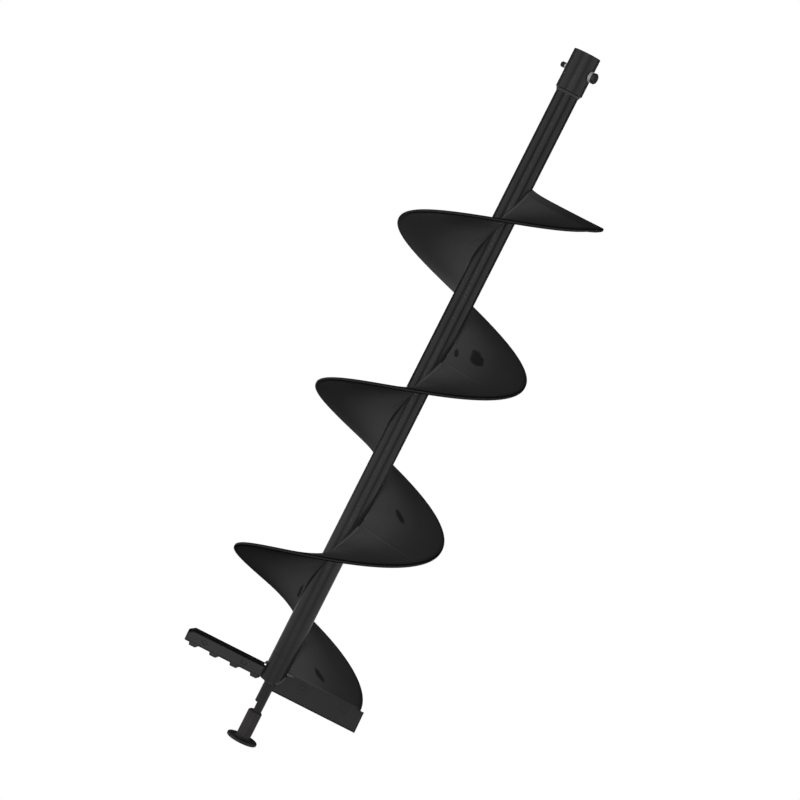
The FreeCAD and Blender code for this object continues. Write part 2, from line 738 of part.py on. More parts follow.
def make_pilot_rod():
    """Rod with a milled flat on its -X side, a journal, and a tapped end."""
    radius = "Sizes.rod_diameter / 2"
    journal = "Sizes.journal_diameter / 2"
    tapped = "Sizes.keeper_screw / 2 + Sizes.run_gap"
    shoulder = f"({SLEEVE_TOP} + Sizes.side_gap)"
    end = "(Sizes.recess_depth - Sizes.side_gap / 2)"
    depth = "Sizes.keeper_screw_length + Sizes.fit_gap"
    body = turned_body("pilot_rod", [
        (tapped, end),
        (journal, end),
        (journal, shoulder),
        (radius, shoulder),
        (radius, "Sizes.hub_reach + Sizes.rod_seat"),
        ("0", "Sizes.hub_reach + Sizes.rod_seat"),
        ("0", f"{end} + {depth}"),
        (tapped, f"{end} + {depth}"),
    ])
    pocket_through(
        body, "rod_flat", "XZ_Plane",
        lambda sketch: draw_outline(sketch, [
            (f"-({radius} + Sizes.rod_flat_depth)", f"{shoulder} - Sizes.fit_gap"),
            (f"-({radius} - Sizes.rod_flat_depth)", f"{shoulder} - Sizes.fit_gap"),
            (f"-({radius} - Sizes.rod_flat_depth)", f"{shoulder} + Sizes.rod_flat_length"),
            (f"-({radius} + Sizes.rod_flat_depth)", f"{shoulder} + Sizes.rod_flat_length"),
        ]),
    )
    place(body, level=FOOT_LEVEL)
    keep(body, "pilot_rod")


def make_pilot_weld():
    """Fillet weld round the pilot rod, under the hub."""
    root = "Sizes.rod_diameter / 2 + Sizes.fit_gap"
    body = turned_body("pilot_weld", [
        (root, "-Sizes.fit_gap"),
        (root, "-Sizes.fit_gap - Sizes.rod_weld_leg"),
        (f"{root} + Sizes.rod_weld_leg", "-Sizes.fit_gap"),
    ])
    place(body, level=HUB_LEVEL)
    keep(body, "pilot_weld")


def make_pilot_sleeve():
    """Bush pressed on the foot's hub, turning on the rod's journal."""
    bore = "Sizes.journal_diameter / 2 + Sizes.run_gap"
    outer = "Sizes.sleeve_diameter / 2"
    body = turned_body("pilot_sleeve", [
        (bore, "0"),
        (outer, "0"),
        (outer, "Sizes.sleeve_length - Sizes.sleeve_chamfer"),
        (f"{outer} - Sizes.sleeve_chamfer", "Sizes.sleeve_length"),
        (bore, "Sizes.sleeve_length"),
    ])
    place(body, level=f"{FOOT_LEVEL} + Sizes.foot_hub_height")
    keep(body, "pilot_sleeve")


def make_pilot_foot():
    """Dished round foot with a hub under the sleeve and a recess for its retaining washer."""
    bore = "Sizes.journal_diameter / 2 + Sizes.run_gap"
    rim = "Sizes.foot_diameter / 2"
    hub = "Sizes.sleeve_diameter / 2 + Sizes.foot_hub_step"
    neck = "Sizes.sleeve_diameter / 2 - Sizes.foot_neck_step"
    recess = "Sizes.recess_diameter / 2"
    body = turned_body("pilot_foot", [
        (recess, "0"),
        (f"{rim} - Sizes.foot_round", "0"),
        (rim, "Sizes.foot_round"),
        (rim, "Sizes.foot_rim - Sizes.foot_round"),
        (f"{rim} - Sizes.foot_round", "Sizes.foot_rim"),
        (f"{rim} - Sizes.foot_round - Sizes.foot_land", "Sizes.foot_rim"),
        (f"{hub} + Sizes.foot_dish_slope", "Sizes.foot_rim - Sizes.foot_dish"),
        (hub, "Sizes.foot_rim"),
        (neck, "Sizes.foot_hub_height - Sizes.foot_neck_height"),
        (neck, "Sizes.foot_hub_height"),
        (bore, "Sizes.foot_hub_height"),
        (bore, "Sizes.recess_depth"),
        (recess, "Sizes.recess_depth"),
    ])
    place(body, level=FOOT_LEVEL)
    keep(body, "pilot_foot")


def make_keeper():
    """Washer and flat-headed screw that hold the foot on its journal."""
    top = "(Sizes.recess_depth - Sizes.side_gap / 2 - Sizes.fit_gap)"
    hole = "Sizes.keeper_screw / 2 + Sizes.run_gap"
    washer = turned_body("foot_washer", [
        (hole, f"{top} - Sizes.keeper_thickness"),
        ("Sizes.keeper_diameter / 2", f"{top} - Sizes.keeper_thickness"),
        ("Sizes.keeper_diameter / 2", top),
        (hole, top),
    ])
    place(washer, level=FOOT_LEVEL)
    keep(washer, "foot_washer")
    seat = f"({top} - Sizes.keeper_thickness - Sizes.fit_gap)"
    shank = "Sizes.keeper_screw / 2"
    rim = "Sizes.keeper_head_diameter / 2"
    under = f"({seat} - Sizes.keeper_head_height)"
    screw = turned_body("foot_screw", [
        ("0", under),
        (f"{rim} - Sizes.keeper_head_edge", under),
        (rim, f"{under} + Sizes.keeper_head_edge"),
        (rim, seat),
        (shank, seat),
        (shank, f"{seat} + Sizes.keeper_screw_length"),
        ("0", f"{seat} + Sizes.keeper_screw_length"),
    ])
    place(screw, level=FOOT_LEVEL)
    keep(screw, "foot_screw")


# ---------------------------------------------------------------- whole auger


def check_everything():
    """Stop if any object failed or any sub-part has no valid closed shape."""
    for item in document.Objects:
        if "Invalid" in item.State or "Error" in item.State:
            raise RuntimeError(f"{item.Name} failed: {item.State}")
    for item in sub_parts:
        shape = item.Shape
        if shape.isNull() or not shape.isValid() or not shape.Solids:
            raise RuntimeError(f"{item.Label} has no valid solid")


def write_parts():
    """Write each sub-part to its own file."""
    os.makedirs("parts", exist_ok=True)
    for item in sub_parts:
        item.Shape.exportStep(f"parts/{item.Label}.step")
        print(f"{item.Label:28s} solids {len(item.Shape.Solids)}  volume {item.Shape.Volume:10.1f} mm3")


def main():
    """Build the auger from the drive end down and write its pieces."""
    fill_sheet()
    make_drive_socket()
    make_socket_weld()
    make_cross_bolt()
    make_bolt_washers()
    make_stem_tube()
    make_flight()
    make_root_welds()
    make_hub_plug()
    make_holders()
    make_plain_blade()
    make_toothed_blade()
    make_blade_screws()
    make_holder_weld()
    make_pilot_rod()
    make_pilot_weld()
    make_pilot_sleeve()
    make_pilot_foot()
    make_keeper()
    document.recompute()
    check_everything()
    write_parts()


main()
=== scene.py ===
"""Looks of a soil auger bit: sprayed paint, welds, cutting blades, cross bolt and pilot foot.

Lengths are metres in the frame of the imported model. +Z runs up the auger's axis, the origin is at
the mouth of the drive socket, and +X runs along the plain blade.
"""

import logging
import math
from dataclasses import dataclass
from enum import Enum
from typing import Sequence

import bmesh
import bpy
from mathutils import Matrix, Vector, noise


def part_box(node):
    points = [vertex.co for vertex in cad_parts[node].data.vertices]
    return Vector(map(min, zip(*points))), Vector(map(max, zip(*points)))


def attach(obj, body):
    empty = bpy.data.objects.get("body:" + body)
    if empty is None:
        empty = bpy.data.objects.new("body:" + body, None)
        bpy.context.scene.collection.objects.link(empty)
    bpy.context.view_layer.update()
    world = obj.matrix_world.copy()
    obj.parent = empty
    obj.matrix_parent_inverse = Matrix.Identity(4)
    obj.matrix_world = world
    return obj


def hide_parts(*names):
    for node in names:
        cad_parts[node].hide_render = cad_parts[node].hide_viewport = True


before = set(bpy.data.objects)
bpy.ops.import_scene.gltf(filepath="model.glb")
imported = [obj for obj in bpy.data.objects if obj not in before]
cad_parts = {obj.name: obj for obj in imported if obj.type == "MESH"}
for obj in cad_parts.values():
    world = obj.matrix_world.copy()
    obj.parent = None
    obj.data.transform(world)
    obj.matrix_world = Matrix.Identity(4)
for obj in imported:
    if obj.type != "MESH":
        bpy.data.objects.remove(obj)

LOG = logging.getLogger("soil_auger")
MM = 0.001

# Lengths and angles that more than one class works with.
STEM_RADIUS = 12.25 * MM
HEAD_LEVEL = -715 * MM
BLADE_SLOPE = 52.0
BOLT_TURN = -28.0

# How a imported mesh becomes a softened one. Angles are in degrees.
MERGE_REACH = 0.004 * MM
FLAT_ANGLE = 0.6
BEVEL_ANGLE = 32.0
BEVEL_PROFILE = 0.6
CREASE_ANGLE = 38.0

# How close together a weld's stations lie, and the fewest that a weld has.
WELD_STEP = 0.25 * MM
FEWEST_STEPS = 8

Point = tuple[float, float, float]
Colour = tuple[float, float, float]
Socket = bpy.types.NodeSocket
Feed = Socket | float | Sequence[float]


class Body(Enum):
    """The rigid bodies that a piece can ride on."""

    AUGER = "auger"
    BOLT = "bolt"
    FOOT = "foot"


class Slot(Enum):
    """The record's material slots."""

    BLACK_PAINT = "black_paint"
    FLIGHT_PAINT = "flight_paint"
    BLADE_PAINT = "blade_paint"
    WELD_BLACK = "weld_black"
    SCREW_BLACK = "screw_black"
    ZINC = "zinc"
    SLEEVE_BROWN = "sleeve_brown"
    FOOT_BLACK = "foot_black"


# ------------------------------------------------------------------ shader node groups


class NodeBoard:
    """A node tree with short calls to add nodes and join their sockets."""

    def __init__(self, tree: bpy.types.NodeTree) -> None:
        """Take the tree to draw on.

        Args:
            tree: node tree of a material or of a group.
        """
        self.tree = tree

    def add(self, kind: str, inputs: dict[str | int, Feed] | None = None,
            **settings: object) -> bpy.types.Node:
        """Add a node.

        Args:
            kind: Blender's name of the node type, without the ShaderNode prefix.
            inputs: values or source sockets by input name or number.
            settings: properties of the node itself.

        Returns:
            The new node.
        """
        node = self.tree.nodes.new(f"ShaderNode{kind}")
        for name, value in settings.items():
            setattr(node, name, value)
        for key, value in (inputs or {}).items():
            self.feed(node.inputs[key], value)
        return node

    def feed(self, socket: Socket, value: Feed) -> None:
        """Join a source socket to an input, or set the input's own value.

        Args:
            socket: the input.
            value: a socket to join, or a plain value.
        """
        if isinstance(value, Socket):
            self.tree.links.new(value, socket)
        else:
            socket.default_value = value

    def math(self, operation: str, first: Feed, second: Feed = 0.0) -> Socket:
        """Add a clamped math node.

        Args:
            operation: Blender's name of the operation.
            first: first value or socket.
            second: second value or socket.

        Returns:
            The node's output.
        """
        node = self.add("Math", {0: first, 1: second}, operation=operation, use_clamp=True)
        return node.outputs[0]

    def ramp(self, source: Feed, low: float, high: float) -> Socket:
        """Spread the range from low to high over 0 to 1, with soft ends.

        Args:
            source: the value to spread.
            low: input that becomes 0.
            high: input that becomes 1.

        Returns:
            The spread value.
        """
        node = self.add(
            "MapRange", {"Value": source, "From Min": low, "From Max": high},
            interpolation_type="SMOOTHSTEP",
        )
        return node.outputs["Result"]

    def here(self) -> Socket:
        """Place in the object's own coordinates."""
        return self.add("TexCoord").outputs["Object"]

    def facing(self) -> Socket:
        """Direction that the surface faces."""
        return self.add("NewGeometry").outputs["Normal"]

    def flattened(self, place: Socket) -> Socket:
        """Place with its height set to nothing."""
        return self.add("VectorMath", {0: place, 1: (1, 1, 0)}, operation="MULTIPLY").outputs[0]

    def length(self, vector: Socket) -> Socket:
        """Length of a vector."""
        return self.add("VectorMath", {0: vector}, operation="LENGTH").outputs["Value"]

    def dot(self, first: Feed, second: Feed) -> Socket:
        """Dot product of two vectors."""
        return self.add("VectorMath", {0: first, 1: second}, operation="DOT_PRODUCT").outputs["Value"]

    def noise(self, scale: Feed, detail: float = 4.0, roughness: float = 0.5) -> Socket:
        """Noise in the object's own coordinates.

        Args:
            scale: features per metre.
            detail: octaves.
            roughness: strength of the finer octaves.

        Returns:
            The noise's value.
        """
        node = self.add(
            "TexNoise", {"Vector": self.here(), "Scale": scale, "Detail": detail,
                         "Roughness": roughness}
        )
        return node.outputs["Fac"]

    def blend(self, factor: Feed, first: Feed, second: Feed, how: str = "MIX") -> Socket:
        """Mix two colours.

        Args:
            factor: share of the second colour.
            first: first colour.
            second: second colour.
            how: Blender's name of the way they mix.

        Returns:
            The mixed colour.
        """
        node = self.add("Mix", data_type="RGBA", blend_type=how)
        self.feed(node.inputs["Factor"], factor)
        self.feed(node.inputs[6], first)
        self.feed(node.inputs[7], second)
        return node.outputs[2]


class SharedGroup:
    """A shader node group with named sockets, built once and placed in many materials."""

    name: str = ""
    takes: tuple[tuple[str, str, float], ...] = ()
    gives: tuple[tuple[str, str], ...] = ()

    @classmethod
    def tree(cls) -> bpy.types.NodeTree:
        """Return the group's tree, and build it the first time.

        Returns:
            The group's node tree.
        """
        found = bpy.data.node_groups.get(cls.name)
        if found:
            return found
        tree = bpy.data.node_groups.new(cls.name, "ShaderNodeTree")
        for label, kind, value in cls.takes:
            socket = tree.interface.new_socket(label, in_out="INPUT", socket_type=kind)
            socket.default_value = value
        for label, kind in cls.gives:
            tree.interface.new_socket(label, in_out="OUTPUT", socket_type=kind)
        board = NodeBoard(tree)
        source = tree.nodes.new("NodeGroupInput")
        sink = tree.nodes.new("NodeGroupOutput")
        for label, value in cls.draw(board, source).items():
            board.feed(sink.inputs[label], value)
        return tree

    @classmethod
    def draw(cls, board: NodeBoard, source: bpy.types.Node) -> dict[str, Socket]:
        """Draw the group's inside.

        Args:
            board: the group's tree.
            source: the group's input node.

        Returns:
            Output sockets by name.
        """
        raise NotImplementedError

    @classmethod
    def place(cls, board: NodeBoard, **values: Feed) -> bpy.types.Node:
        """Place the group in a material.

        Args:
            board: the material's tree.
            values: values or sockets by input name, with _ for a space.

        Returns:
            The group node.
        """
        node = board.add("Group", node_tree=cls.tree())
        for label, value in values.items():
            board.feed(node.inputs[label.replace("_", " ")], value)
        return node


class EdgeWear(SharedGroup):
    """Where an edge stands out enough for its paint to be rubbed."""

    name = "edge_wear"
    takes = (("Reach", "NodeSocketFloat", 0.0008), ("Breakup", "NodeSocketFloat", 260.0))
    gives = (("Mask", "NodeSocketFloat"), ("Whole Edge", "NodeSocketFloat"))
    bends = (0.02, 0.22)
    rubs_and_dark_ovals = (0.42, 0.62)

    @classmethod
    def draw(cls, board: NodeBoard, source: bpy.types.Node) -> dict[str, Socket]:
        """Compare the rounded normal with the true one and break the result up with noise.

        Args:
            board: the group's tree.
            source: the group's input node.

        Returns:
            The broken and the whole mask by output name.
        """
        rounded = board.add("Bevel", {"Radius": source.outputs["Reach"]}, samples=4)
        alike = board.dot(rounded.outputs[0], board.facing())
        edge = board.ramp(board.math("SUBTRACT", 1.0, alike), *cls.bends)
        rubbed = board.ramp(board.noise(source.outputs["Breakup"]), *cls.rubs_and_dark_ovals)
        return {"Mask": board.math("MULTIPLY", edge, rubbed), "Whole Edge": edge}


class SprayTexture(SharedGroup):
    """Orange peel and dust nibs of a sprayed coat, and slow changes of its gloss."""

    name = "spray_texture"
    takes = (("Peel Scale", "NodeSocketFloat", 900.0), ("Patch Scale", "NodeSocketFloat", 14.0))
    gives = (("Height", "NodeSocketFloat"), ("Patch", "NodeSocketFloat"))
    nib_scale = 420.0
    nib_reach = 0.12
    nib_height = 0.6
    nib_area_scale = 60.0
    nib_areas = (0.6, 0.7)
    patches = (0.35, 0.7)

    @classmethod
    def draw(cls, board: NodeBoard, source: bpy.types.Node) -> dict[str, Socket]:
        """Add fine cells and a few nibs for the height, and broad noise for the patches.

        Args:
            board: the group's tree.
            source: the group's input node.

        Returns:
            The height and the patches by output name.
        """
        peel = board.noise(source.outputs["Peel Scale"], 2.0, 0.4)
        cells = board.add("TexVoronoi", {"Vector": board.here(), "Scale": cls.nib_scale}, feature="F1")
        nib = board.ramp(cells.outputs["Distance"], cls.nib_reach, 0.0)
        areas = board.ramp(board.noise(cls.nib_area_scale, 1.0), *cls.nib_areas)
        nibs = board.math("MULTIPLY", nib, areas)
        height = board.add("Math", {0: nibs, 1: cls.nib_height, 2: peel}, operation="MULTIPLY_ADD")
        patch = board.ramp(board.noise(source.outputs["Patch Scale"], 5.0, 0.6), *cls.patches)
        return {"Height": height.outputs[0], "Patch": patch}


class HandlingMarks(SharedGroup):
    """Fine scuffs and dull smears left by handling."""

    name = "handling_marks"
    takes = (("Amount", "NodeSocketFloat", 0.5),)
    gives = (("Scuff", "NodeSocketFloat"), ("Smear", "NodeSocketFloat"))
    scratch_turn = (0.5, 0.3, 0.8)
    scratch_scale = (900.0, 60.0, 25.0)
    scratches = (0.66, 0.74)
    scratch_area_scale = 22.0
    scratch_areas = (0.5, 0.66)
    smear_scale = 9.0
    smears = (0.5, 0.75)

    @classmethod
    def draw(cls, board: NodeBoard, source: bpy.types.Node) -> dict[str, Socket]:
        """Stretch noise into thin scratches and into broad smears.

        Args:
            board: the group's tree.
            source: the group's input node.

        Returns:
            Scuffs and smears by output name.
        """
        thin = board.add(
            "Mapping", {"Vector": board.here(), "Rotation": cls.scratch_turn,
                        "Scale": cls.scratch_scale}
        )
        lines = board.add("TexNoise", {"Vector": thin.outputs[0], "Scale": 1.0, "Detail": 3.0})
        scratches = board.ramp(lines.outputs["Fac"], *cls.scratches)
        areas = board.ramp(board.noise(cls.scratch_area_scale, 3.0), *cls.scratch_areas)
        scuff = board.math("MULTIPLY", scratches, areas)
        smear = board.ramp(board.noise(cls.smear_scale, 6.0, 0.65), *cls.smears)
        amount = source.outputs["Amount"]
        return {
            "Scuff": board.math("MULTIPLY", scuff, amount),
            "Smear": board.math("MULTIPLY", smear, amount),
        }


# ------------------------------------------------------------------ finishes


def bare_material(name: str) -> tuple[bpy.types.Material, NodeBoard]:
    """Make a material whose node tree is empty.

    Args:
        name: the material's name.

    Returns:
        The material and its tree.
    """
    material = bpy.data.materials.new(name)
    material.use_nodes = True
    material.node_tree.nodes.clear()
    return material, NodeBoard(material.node_tree)


def finish_output(board: NodeBoard, shader: bpy.types.Node) -> None:
    """Join a shader to the material's output.

    Args:
        board: the material's tree.
        shader: node whose first output is the surface.
    """
    sink = board.tree.nodes.new("ShaderNodeOutputMaterial")
    board.feed(sink.inputs["Surface"], shader.outputs[0])


@dataclass(frozen=True)
class PaintFinish:
    """Black paint sprayed over steel, rubbed at its edges."""

    name: str
    slot: Slot
    colour: Colour
    dull_colour: Colour
    edge_colour: Colour = (0.06, 0.058, 0.055)
    roughness: float = 0.42
    peel_height: float = 0.02 * MM
    wear: float = 0.5
    marks: float = 0.5
    gloss: float = 0.45
    peel_strength: float = 0.6
    smear_dulling: float = 0.1

    def shade(self, board: NodeBoard, colour: Socket) -> Socket:
        """Return the coat's colour with no further shading."""
        return colour

    def material(self) -> bpy.types.Material:
        """Return the finish's material, and build it the first time.

        Returns:
            The material.
        """
        found = bpy.data.materials.get(self.name)
        if found:
            return found
        material, board = bare_material(self.name)
        spray = SprayTexture.place(board)
        marks = HandlingMarks.place(board, Amount=self.marks)
        edge = EdgeWear.place(board)
        worn = board.math("MULTIPLY", edge.outputs["Mask"], self.wear)
        plain = board.blend(spray.outputs["Patch"], (*self.colour, 1), (*self.dull_colour, 1))
        coat = self.shade(board, plain)
        scuffed = board.blend(marks.outputs["Scuff"], coat, (*self.edge_colour, 1))
        colour = board.blend(worn, scuffed, (*self.edge_colour, 1))
        dulled = board.add(
            "MapRange", {"Value": marks.outputs["Smear"], "To Min": self.roughness,
                         "To Max": self.roughness + self.smear_dulling},
        )
        bump = board.add(
            "Bump", {"Height": spray.outputs["Height"], "Strength": self.peel_strength,
                     "Distance": self.peel_height},
        )
        shader = board.add(
            "BsdfPrincipled", {"Base Color": colour, "Roughness": dulled.outputs["Result"],
                               "Normal": bump.outputs["Normal"]},
        )
        shader.inputs["Specular IOR Level"].default_value = self.gloss
        finish_output(board, shader)
        return material


@dataclass(frozen=True)
class DarkOval:
    """A ragged dark oval on one turn of the flight."""

    middle: Point
    reach: Point
    turn: float
    lowest: float
    highest: float
    underneath: bool = False
    breakup: float = 0.9
    breakup_scale: float = 170.0
    outline: tuple[float, float] = (1.45, 1.1)
    fade: float = 2 * MM
    slopes: tuple[float, float] = (0.1, 0.3)

    def mask(self, board: NodeBoard, place: Socket) -> Socket:
        """Draw the oval's mask.

        Args:
            board: the material's tree.
            place: place in the object.

        Returns:
            The mask.
        """
        flat = board.flattened(place)
        moved = board.add("VectorMath", {0: flat, 1: self.middle}, operation="SUBTRACT")
        turned = board.add(
            "VectorRotate", {"Vector": moved.outputs[0], "Angle": math.radians(self.turn)},
            rotation_type="Z_AXIS",
        )
        scaled = board.add("VectorMath", {0: turned.outputs[0], 1: self.reach}, operation="DIVIDE")
        ragged = board.add(
            "Math", {0: board.noise(self.breakup_scale), 1: self.breakup,
                     2: board.length(scaled.outputs[0])},
            operation="MULTIPLY_ADD",
        )
        oval = board.ramp(ragged.outputs[0], *self.outline)
        level = board.add("SeparateXYZ", {0: place}).outputs["Z"]
        above = board.ramp(level, self.lowest, self.lowest + self.fade)
        below = board.ramp(level, self.highest, self.highest - self.fade)
        upward = board.add("SeparateXYZ", {0: board.facing()}).outputs["Z"]
        sign = -1 if self.underneath else 1
        side = board.ramp(upward, *(sign * slope for slope in self.slopes))
        window = board.math("MULTIPLY", above, below)
        return board.math("MULTIPLY", board.math("MULTIPLY", oval, window), side)


@dataclass(frozen=True)
class FlightFinish(PaintFinish):
    """Paint on the flight, with painted shade: darker by the stem and towards the rim, dark painted
    lines at the rim's corners, and ragged dark ovals.
    """

    # Painted shade by distance from the axis, as (radius, level): a little darker by the stem, darker
    # towards the rim, darkest on the rim's face.
    painted_shades: tuple[tuple[float, float], ...] = (
        (12 * MM, 0.9), (25 * MM, 1.0), (38 * MM, 1.04), (50 * MM, 0.96),
        (66 * MM, 0.82), (92 * MM, 0.74), (96.8 * MM, 0.4),
    )
    rim_begins: float = 95.5 * MM
    rim_fade: float = 0.5 * MM
    corner_leans: tuple[float, float] = (0.04, 0.15)
    face_leans: tuple[float, float] = (1.0, 0.96)
    # Colour of the painted shade on the rim's corners.
    corner_painted_shade: Colour = (0.003, 0.003, 0.003)
    # Colour and strength of the ragged dark ovals.
    dark_oval_colour: Colour = (0.004, 0.004, 0.004)
    dark_oval_strength: float = 0.72
    rubs_and_dark_ovals: tuple[DarkOval, ...] = (
        DarkOval((43 * MM, 13.5 * MM, 0.0), (9.5 * MM, 3.4 * MM, 1.0), 24.0, -720 * MM, -620 * MM),
        DarkOval((43 * MM, 10 * MM, 0.0), (10.0 * MM, 3.6 * MM, 1.0), 36.0, -560 * MM, -440 * MM),
        DarkOval((40 * MM, 0.5 * MM, 0.0), (12.0 * MM, 8.5 * MM, 1.0), 60.0, -380 * MM, -270 * MM),
        DarkOval((18.5 * MM, -3 * MM, 0.0), (3.6 * MM, 2.2 * MM, 1.0), 40.0, -380 * MM, -270 * MM),
        DarkOval((-15 * MM, 4 * MM, 0.0), (2.0 * MM, 5.5 * MM, 1.0), 0.0, -660 * MM, -590 * MM, True),
    )

    def shade(self, board: NodeBoard, colour: Socket) -> Socket:
        """Paint shade into the coat by its distance from the axis and at the rim's corners, and darken
        it in the dark ovals.

        Args:
            board: the material's tree.
            colour: the coat's colour.

        Returns:
            The darkened colour.
        """
        place = board.here()
        flat = board.flattened(place)
        radius = board.length(flat)
        reach = self.painted_shades[-1][0]
        ramp = board.add("ValToRGB", {"Fac": board.math("DIVIDE", radius, reach)})
        stops = ramp.color_ramp.elements
        while len(stops) < len(self.painted_shades):
            stops.new(0.5)
        for stop, (distance, level) in zip(stops, self.painted_shades):
            stop.position = distance / reach
            stop.color = (level, level, level, 1)
        # Painted shade by distance from the axis.
        coat = board.blend(1.0, colour, ramp.outputs["Color"], how="MULTIPLY")
        at_rim = board.ramp(radius, self.rim_begins, self.rim_begins + self.rim_fade)
        corner = board.math("MULTIPLY", self.corner(board, flat), at_rim)
        # Painted shade: dark lines along the rim's corners.
        coat = board.blend(corner, coat, (*self.corner_painted_shade, 1))
        # Darken the coat in each dark oval.
        for dark_oval in self.rubs_and_dark_ovals:
            strength = board.math("MULTIPLY", dark_oval.mask(board, place), self.dark_oval_strength)
            coat = board.blend(strength, coat, (*self.dark_oval_colour, 1))
        return coat

    def corner(self, board: NodeBoard, flat: Socket) -> Socket:
        """Mask of the rounded corners between the plate's faces and its rim, where painted shade draws
        dark lines.

        Args:
            board: the material's tree.
            flat: place in the object with no height.

        Returns:
            The mask.
        """
        out = board.add("VectorMath", {0: flat}, operation="NORMALIZE").outputs[0]
        lean = board.dot(out, board.facing())
        off_faces = board.ramp(lean, *self.corner_leans)
        off_rim = board.ramp(lean, *self.face_leans)
        return board.math("MULTIPLY", off_faces, off_rim)


@dataclass(frozen=True)
class BladeFinish(PaintFinish):
    """Paint on a blade that faces the side -1 or 1 of Y, with painted shade: dark on its sheared edges.
    """

    side: float = -1.0
    face_levels: tuple[float, float] = (0.9, 0.55)
    painted_edge_shade: Colour = (0.006, 0.006, 0.006)
    edge_reach: float = 3.0 * MM

    def shade(self, board: NodeBoard, colour: Socket) -> Socket:
        """Paint shade on the plate's sheared edges, and a dark line along them on its two broad faces.

        Args:
            board: the material's tree.
            colour: the coat's colour.

        Returns:
            The darkened colour.
        """
        tilt = math.radians(BLADE_SLOPE)
        face = (0.0, self.side * math.sin(tilt), math.cos(tilt))
        toward = board.dot(board.facing(), face)
        level = board.add("Math", {0: toward}, operation="ABSOLUTE").outputs[0]
        edge = EdgeWear.place(board, Reach=self.edge_reach).outputs["Whole Edge"]
        # Painted shade: dark on the sheared edges and in a band along them on the broad faces.
        painted_shade_mask = board.math("MAXIMUM", board.ramp(level, *self.face_levels), edge)
        return board.blend(painted_shade_mask, colour, (*self.painted_edge_shade, 1))


@dataclass(frozen=True)
class SteelFinish:
    """Plated or oiled steel with fine turning marks and dull patches."""

    name: str
    slot: Slot
    colour: Colour
    patch_colour: Colour
    roughness: float = 0.35
    metallic: float = 1.0
    grain: float = 0.01 * MM
    grain_strength: float = 0.5
    grain_scale: float = 2400.0
    patch_scale: float = 70.0
    marks: float = 0.6
    smear_dulling: float = 0.15
    wear_reach: float = 0.5 * MM
    worn_gain: float = 1.8
    worn_lift: float = 0.05

    def dress(self, board: NodeBoard, shader: bpy.types.Node, steel: Socket) -> None:
        """Give the shader the steel's colour and its metallic share.

        Args:
            board: the material's tree.
            shader: the Principled BSDF.
            steel: the bare steel's colour.
        """
        board.feed(shader.inputs["Base Color"], steel)
        shader.inputs["Metallic"].default_value = self.metallic

    def material(self) -> bpy.types.Material:
        """Return the finish's material, and build it the first time.

        Returns:
            The material.
        """
        found = bpy.data.materials.get(self.name)
        if found:
            return found
        material, board = bare_material(self.name)
        spray = SprayTexture.place(
            board, Peel_Scale=self.grain_scale, Patch_Scale=self.patch_scale
        )
        marks = HandlingMarks.place(board, Amount=self.marks)
        edge = EdgeWear.place(board, Reach=self.wear_reach)
        coat = board.blend(spray.outputs["Patch"], (*self.colour, 1), (*self.patch_colour, 1))
        bright = tuple(min(1.0, self.worn_gain * level + self.worn_lift) for level in self.colour)
        bare = board.blend(edge.outputs["Mask"], coat, (*bright, 1))
        dulled = board.add(
            "MapRange", {"Value": marks.outputs["Smear"], "To Min": self.roughness,
                         "To Max": self.roughness + self.smear_dulling},
        )
        bump = board.add(
            "Bump", {"Height": spray.outputs["Height"], "Strength": self.grain_strength,
                     "Distance": self.grain},
        )
        shader = board.add(
            "BsdfPrincipled", {"Roughness": dulled.outputs["Result"],
                               "Normal": bump.outputs["Normal"]},
        )
        self.dress(board, shader, bare)
        finish_output(board, shader)
        return material


@dataclass(frozen=True)
class BoltFinish(SteelFinish):
    """Plated bolt that was painted in place, then slid a little out of its hole."""

    painted_head: float = 17.4 * MM
    painted_end: float = -16.9 * MM
    head_fade: float = 0.2 * MM
    end_fade: float = 0.3 * MM
    paint: Colour = (0.026, 0.026, 0.027)

    def dress(self, board: NodeBoard, shader: bpy.types.Node, steel: Socket) -> None:
        """Cover the steel with paint where the bolt was sprayed.

        Args:
            board: the material's tree.
            shader: the Principled BSDF.
            steel: the bare steel's colour.
        """
        covered = self.overspray(board)
        board.feed(shader.inputs["Base Color"], board.blend(covered, steel, (*self.paint, 1)))
        metal = board.add("MapRange", {"Value": covered, "To Min": self.metallic, "To Max": 0.0})
        board.feed(shader.inputs["Metallic"], metal.outputs["Result"])

    def overspray(self, board: NodeBoard) -> Socket:
        """Return the paint's mask: the head and the far end, past the bare middle.

        Args:
            board: the material's tree.

        Returns:
            The mask.
        """
        turn = math.radians(BOLT_TURN)
        along = board.dot(board.here(), (math.cos(turn), math.sin(turn), 0.0))
        head = board.ramp(
            along, self.painted_head - self.head_fade, self.painted_head + self.head_fade
        )
        end = board.ramp(along, self.painted_end + self.end_fade, self.painted_end - self.end_fade)
        return board.math("ADD", head, end)


Finish = PaintFinish | SteelFinish

STEM_PAINT = PaintFinish(
    "stem_coat", Slot.BLACK_PAINT, (0.0145, 0.0145, 0.015), (0.012, 0.012, 0.012),
    roughness=0.22, wear=0.3, marks=0.15, gloss=0.5,
)
FLIGHT_COAT = FlightFinish(
    "flight_coat", Slot.FLIGHT_PAINT, (0.052, 0.052, 0.053), (0.047, 0.047, 0.047),
    roughness=0.5, gloss=0.15,
)
SOCKET_PAINT = PaintFinish(
    "socket_coat", Slot.BLACK_PAINT, (0.026, 0.026, 0.0265), (0.022, 0.022, 0.022),
    roughness=0.26, gloss=0.36,
)
PLAIN_BLADE_COAT = BladeFinish(
    "plain_blade_coat", Slot.BLADE_PAINT, (0.037, 0.037, 0.038), (0.033, 0.033, 0.033),
    roughness=0.45, wear=0.4, gloss=0.2, side=-1.0,
)
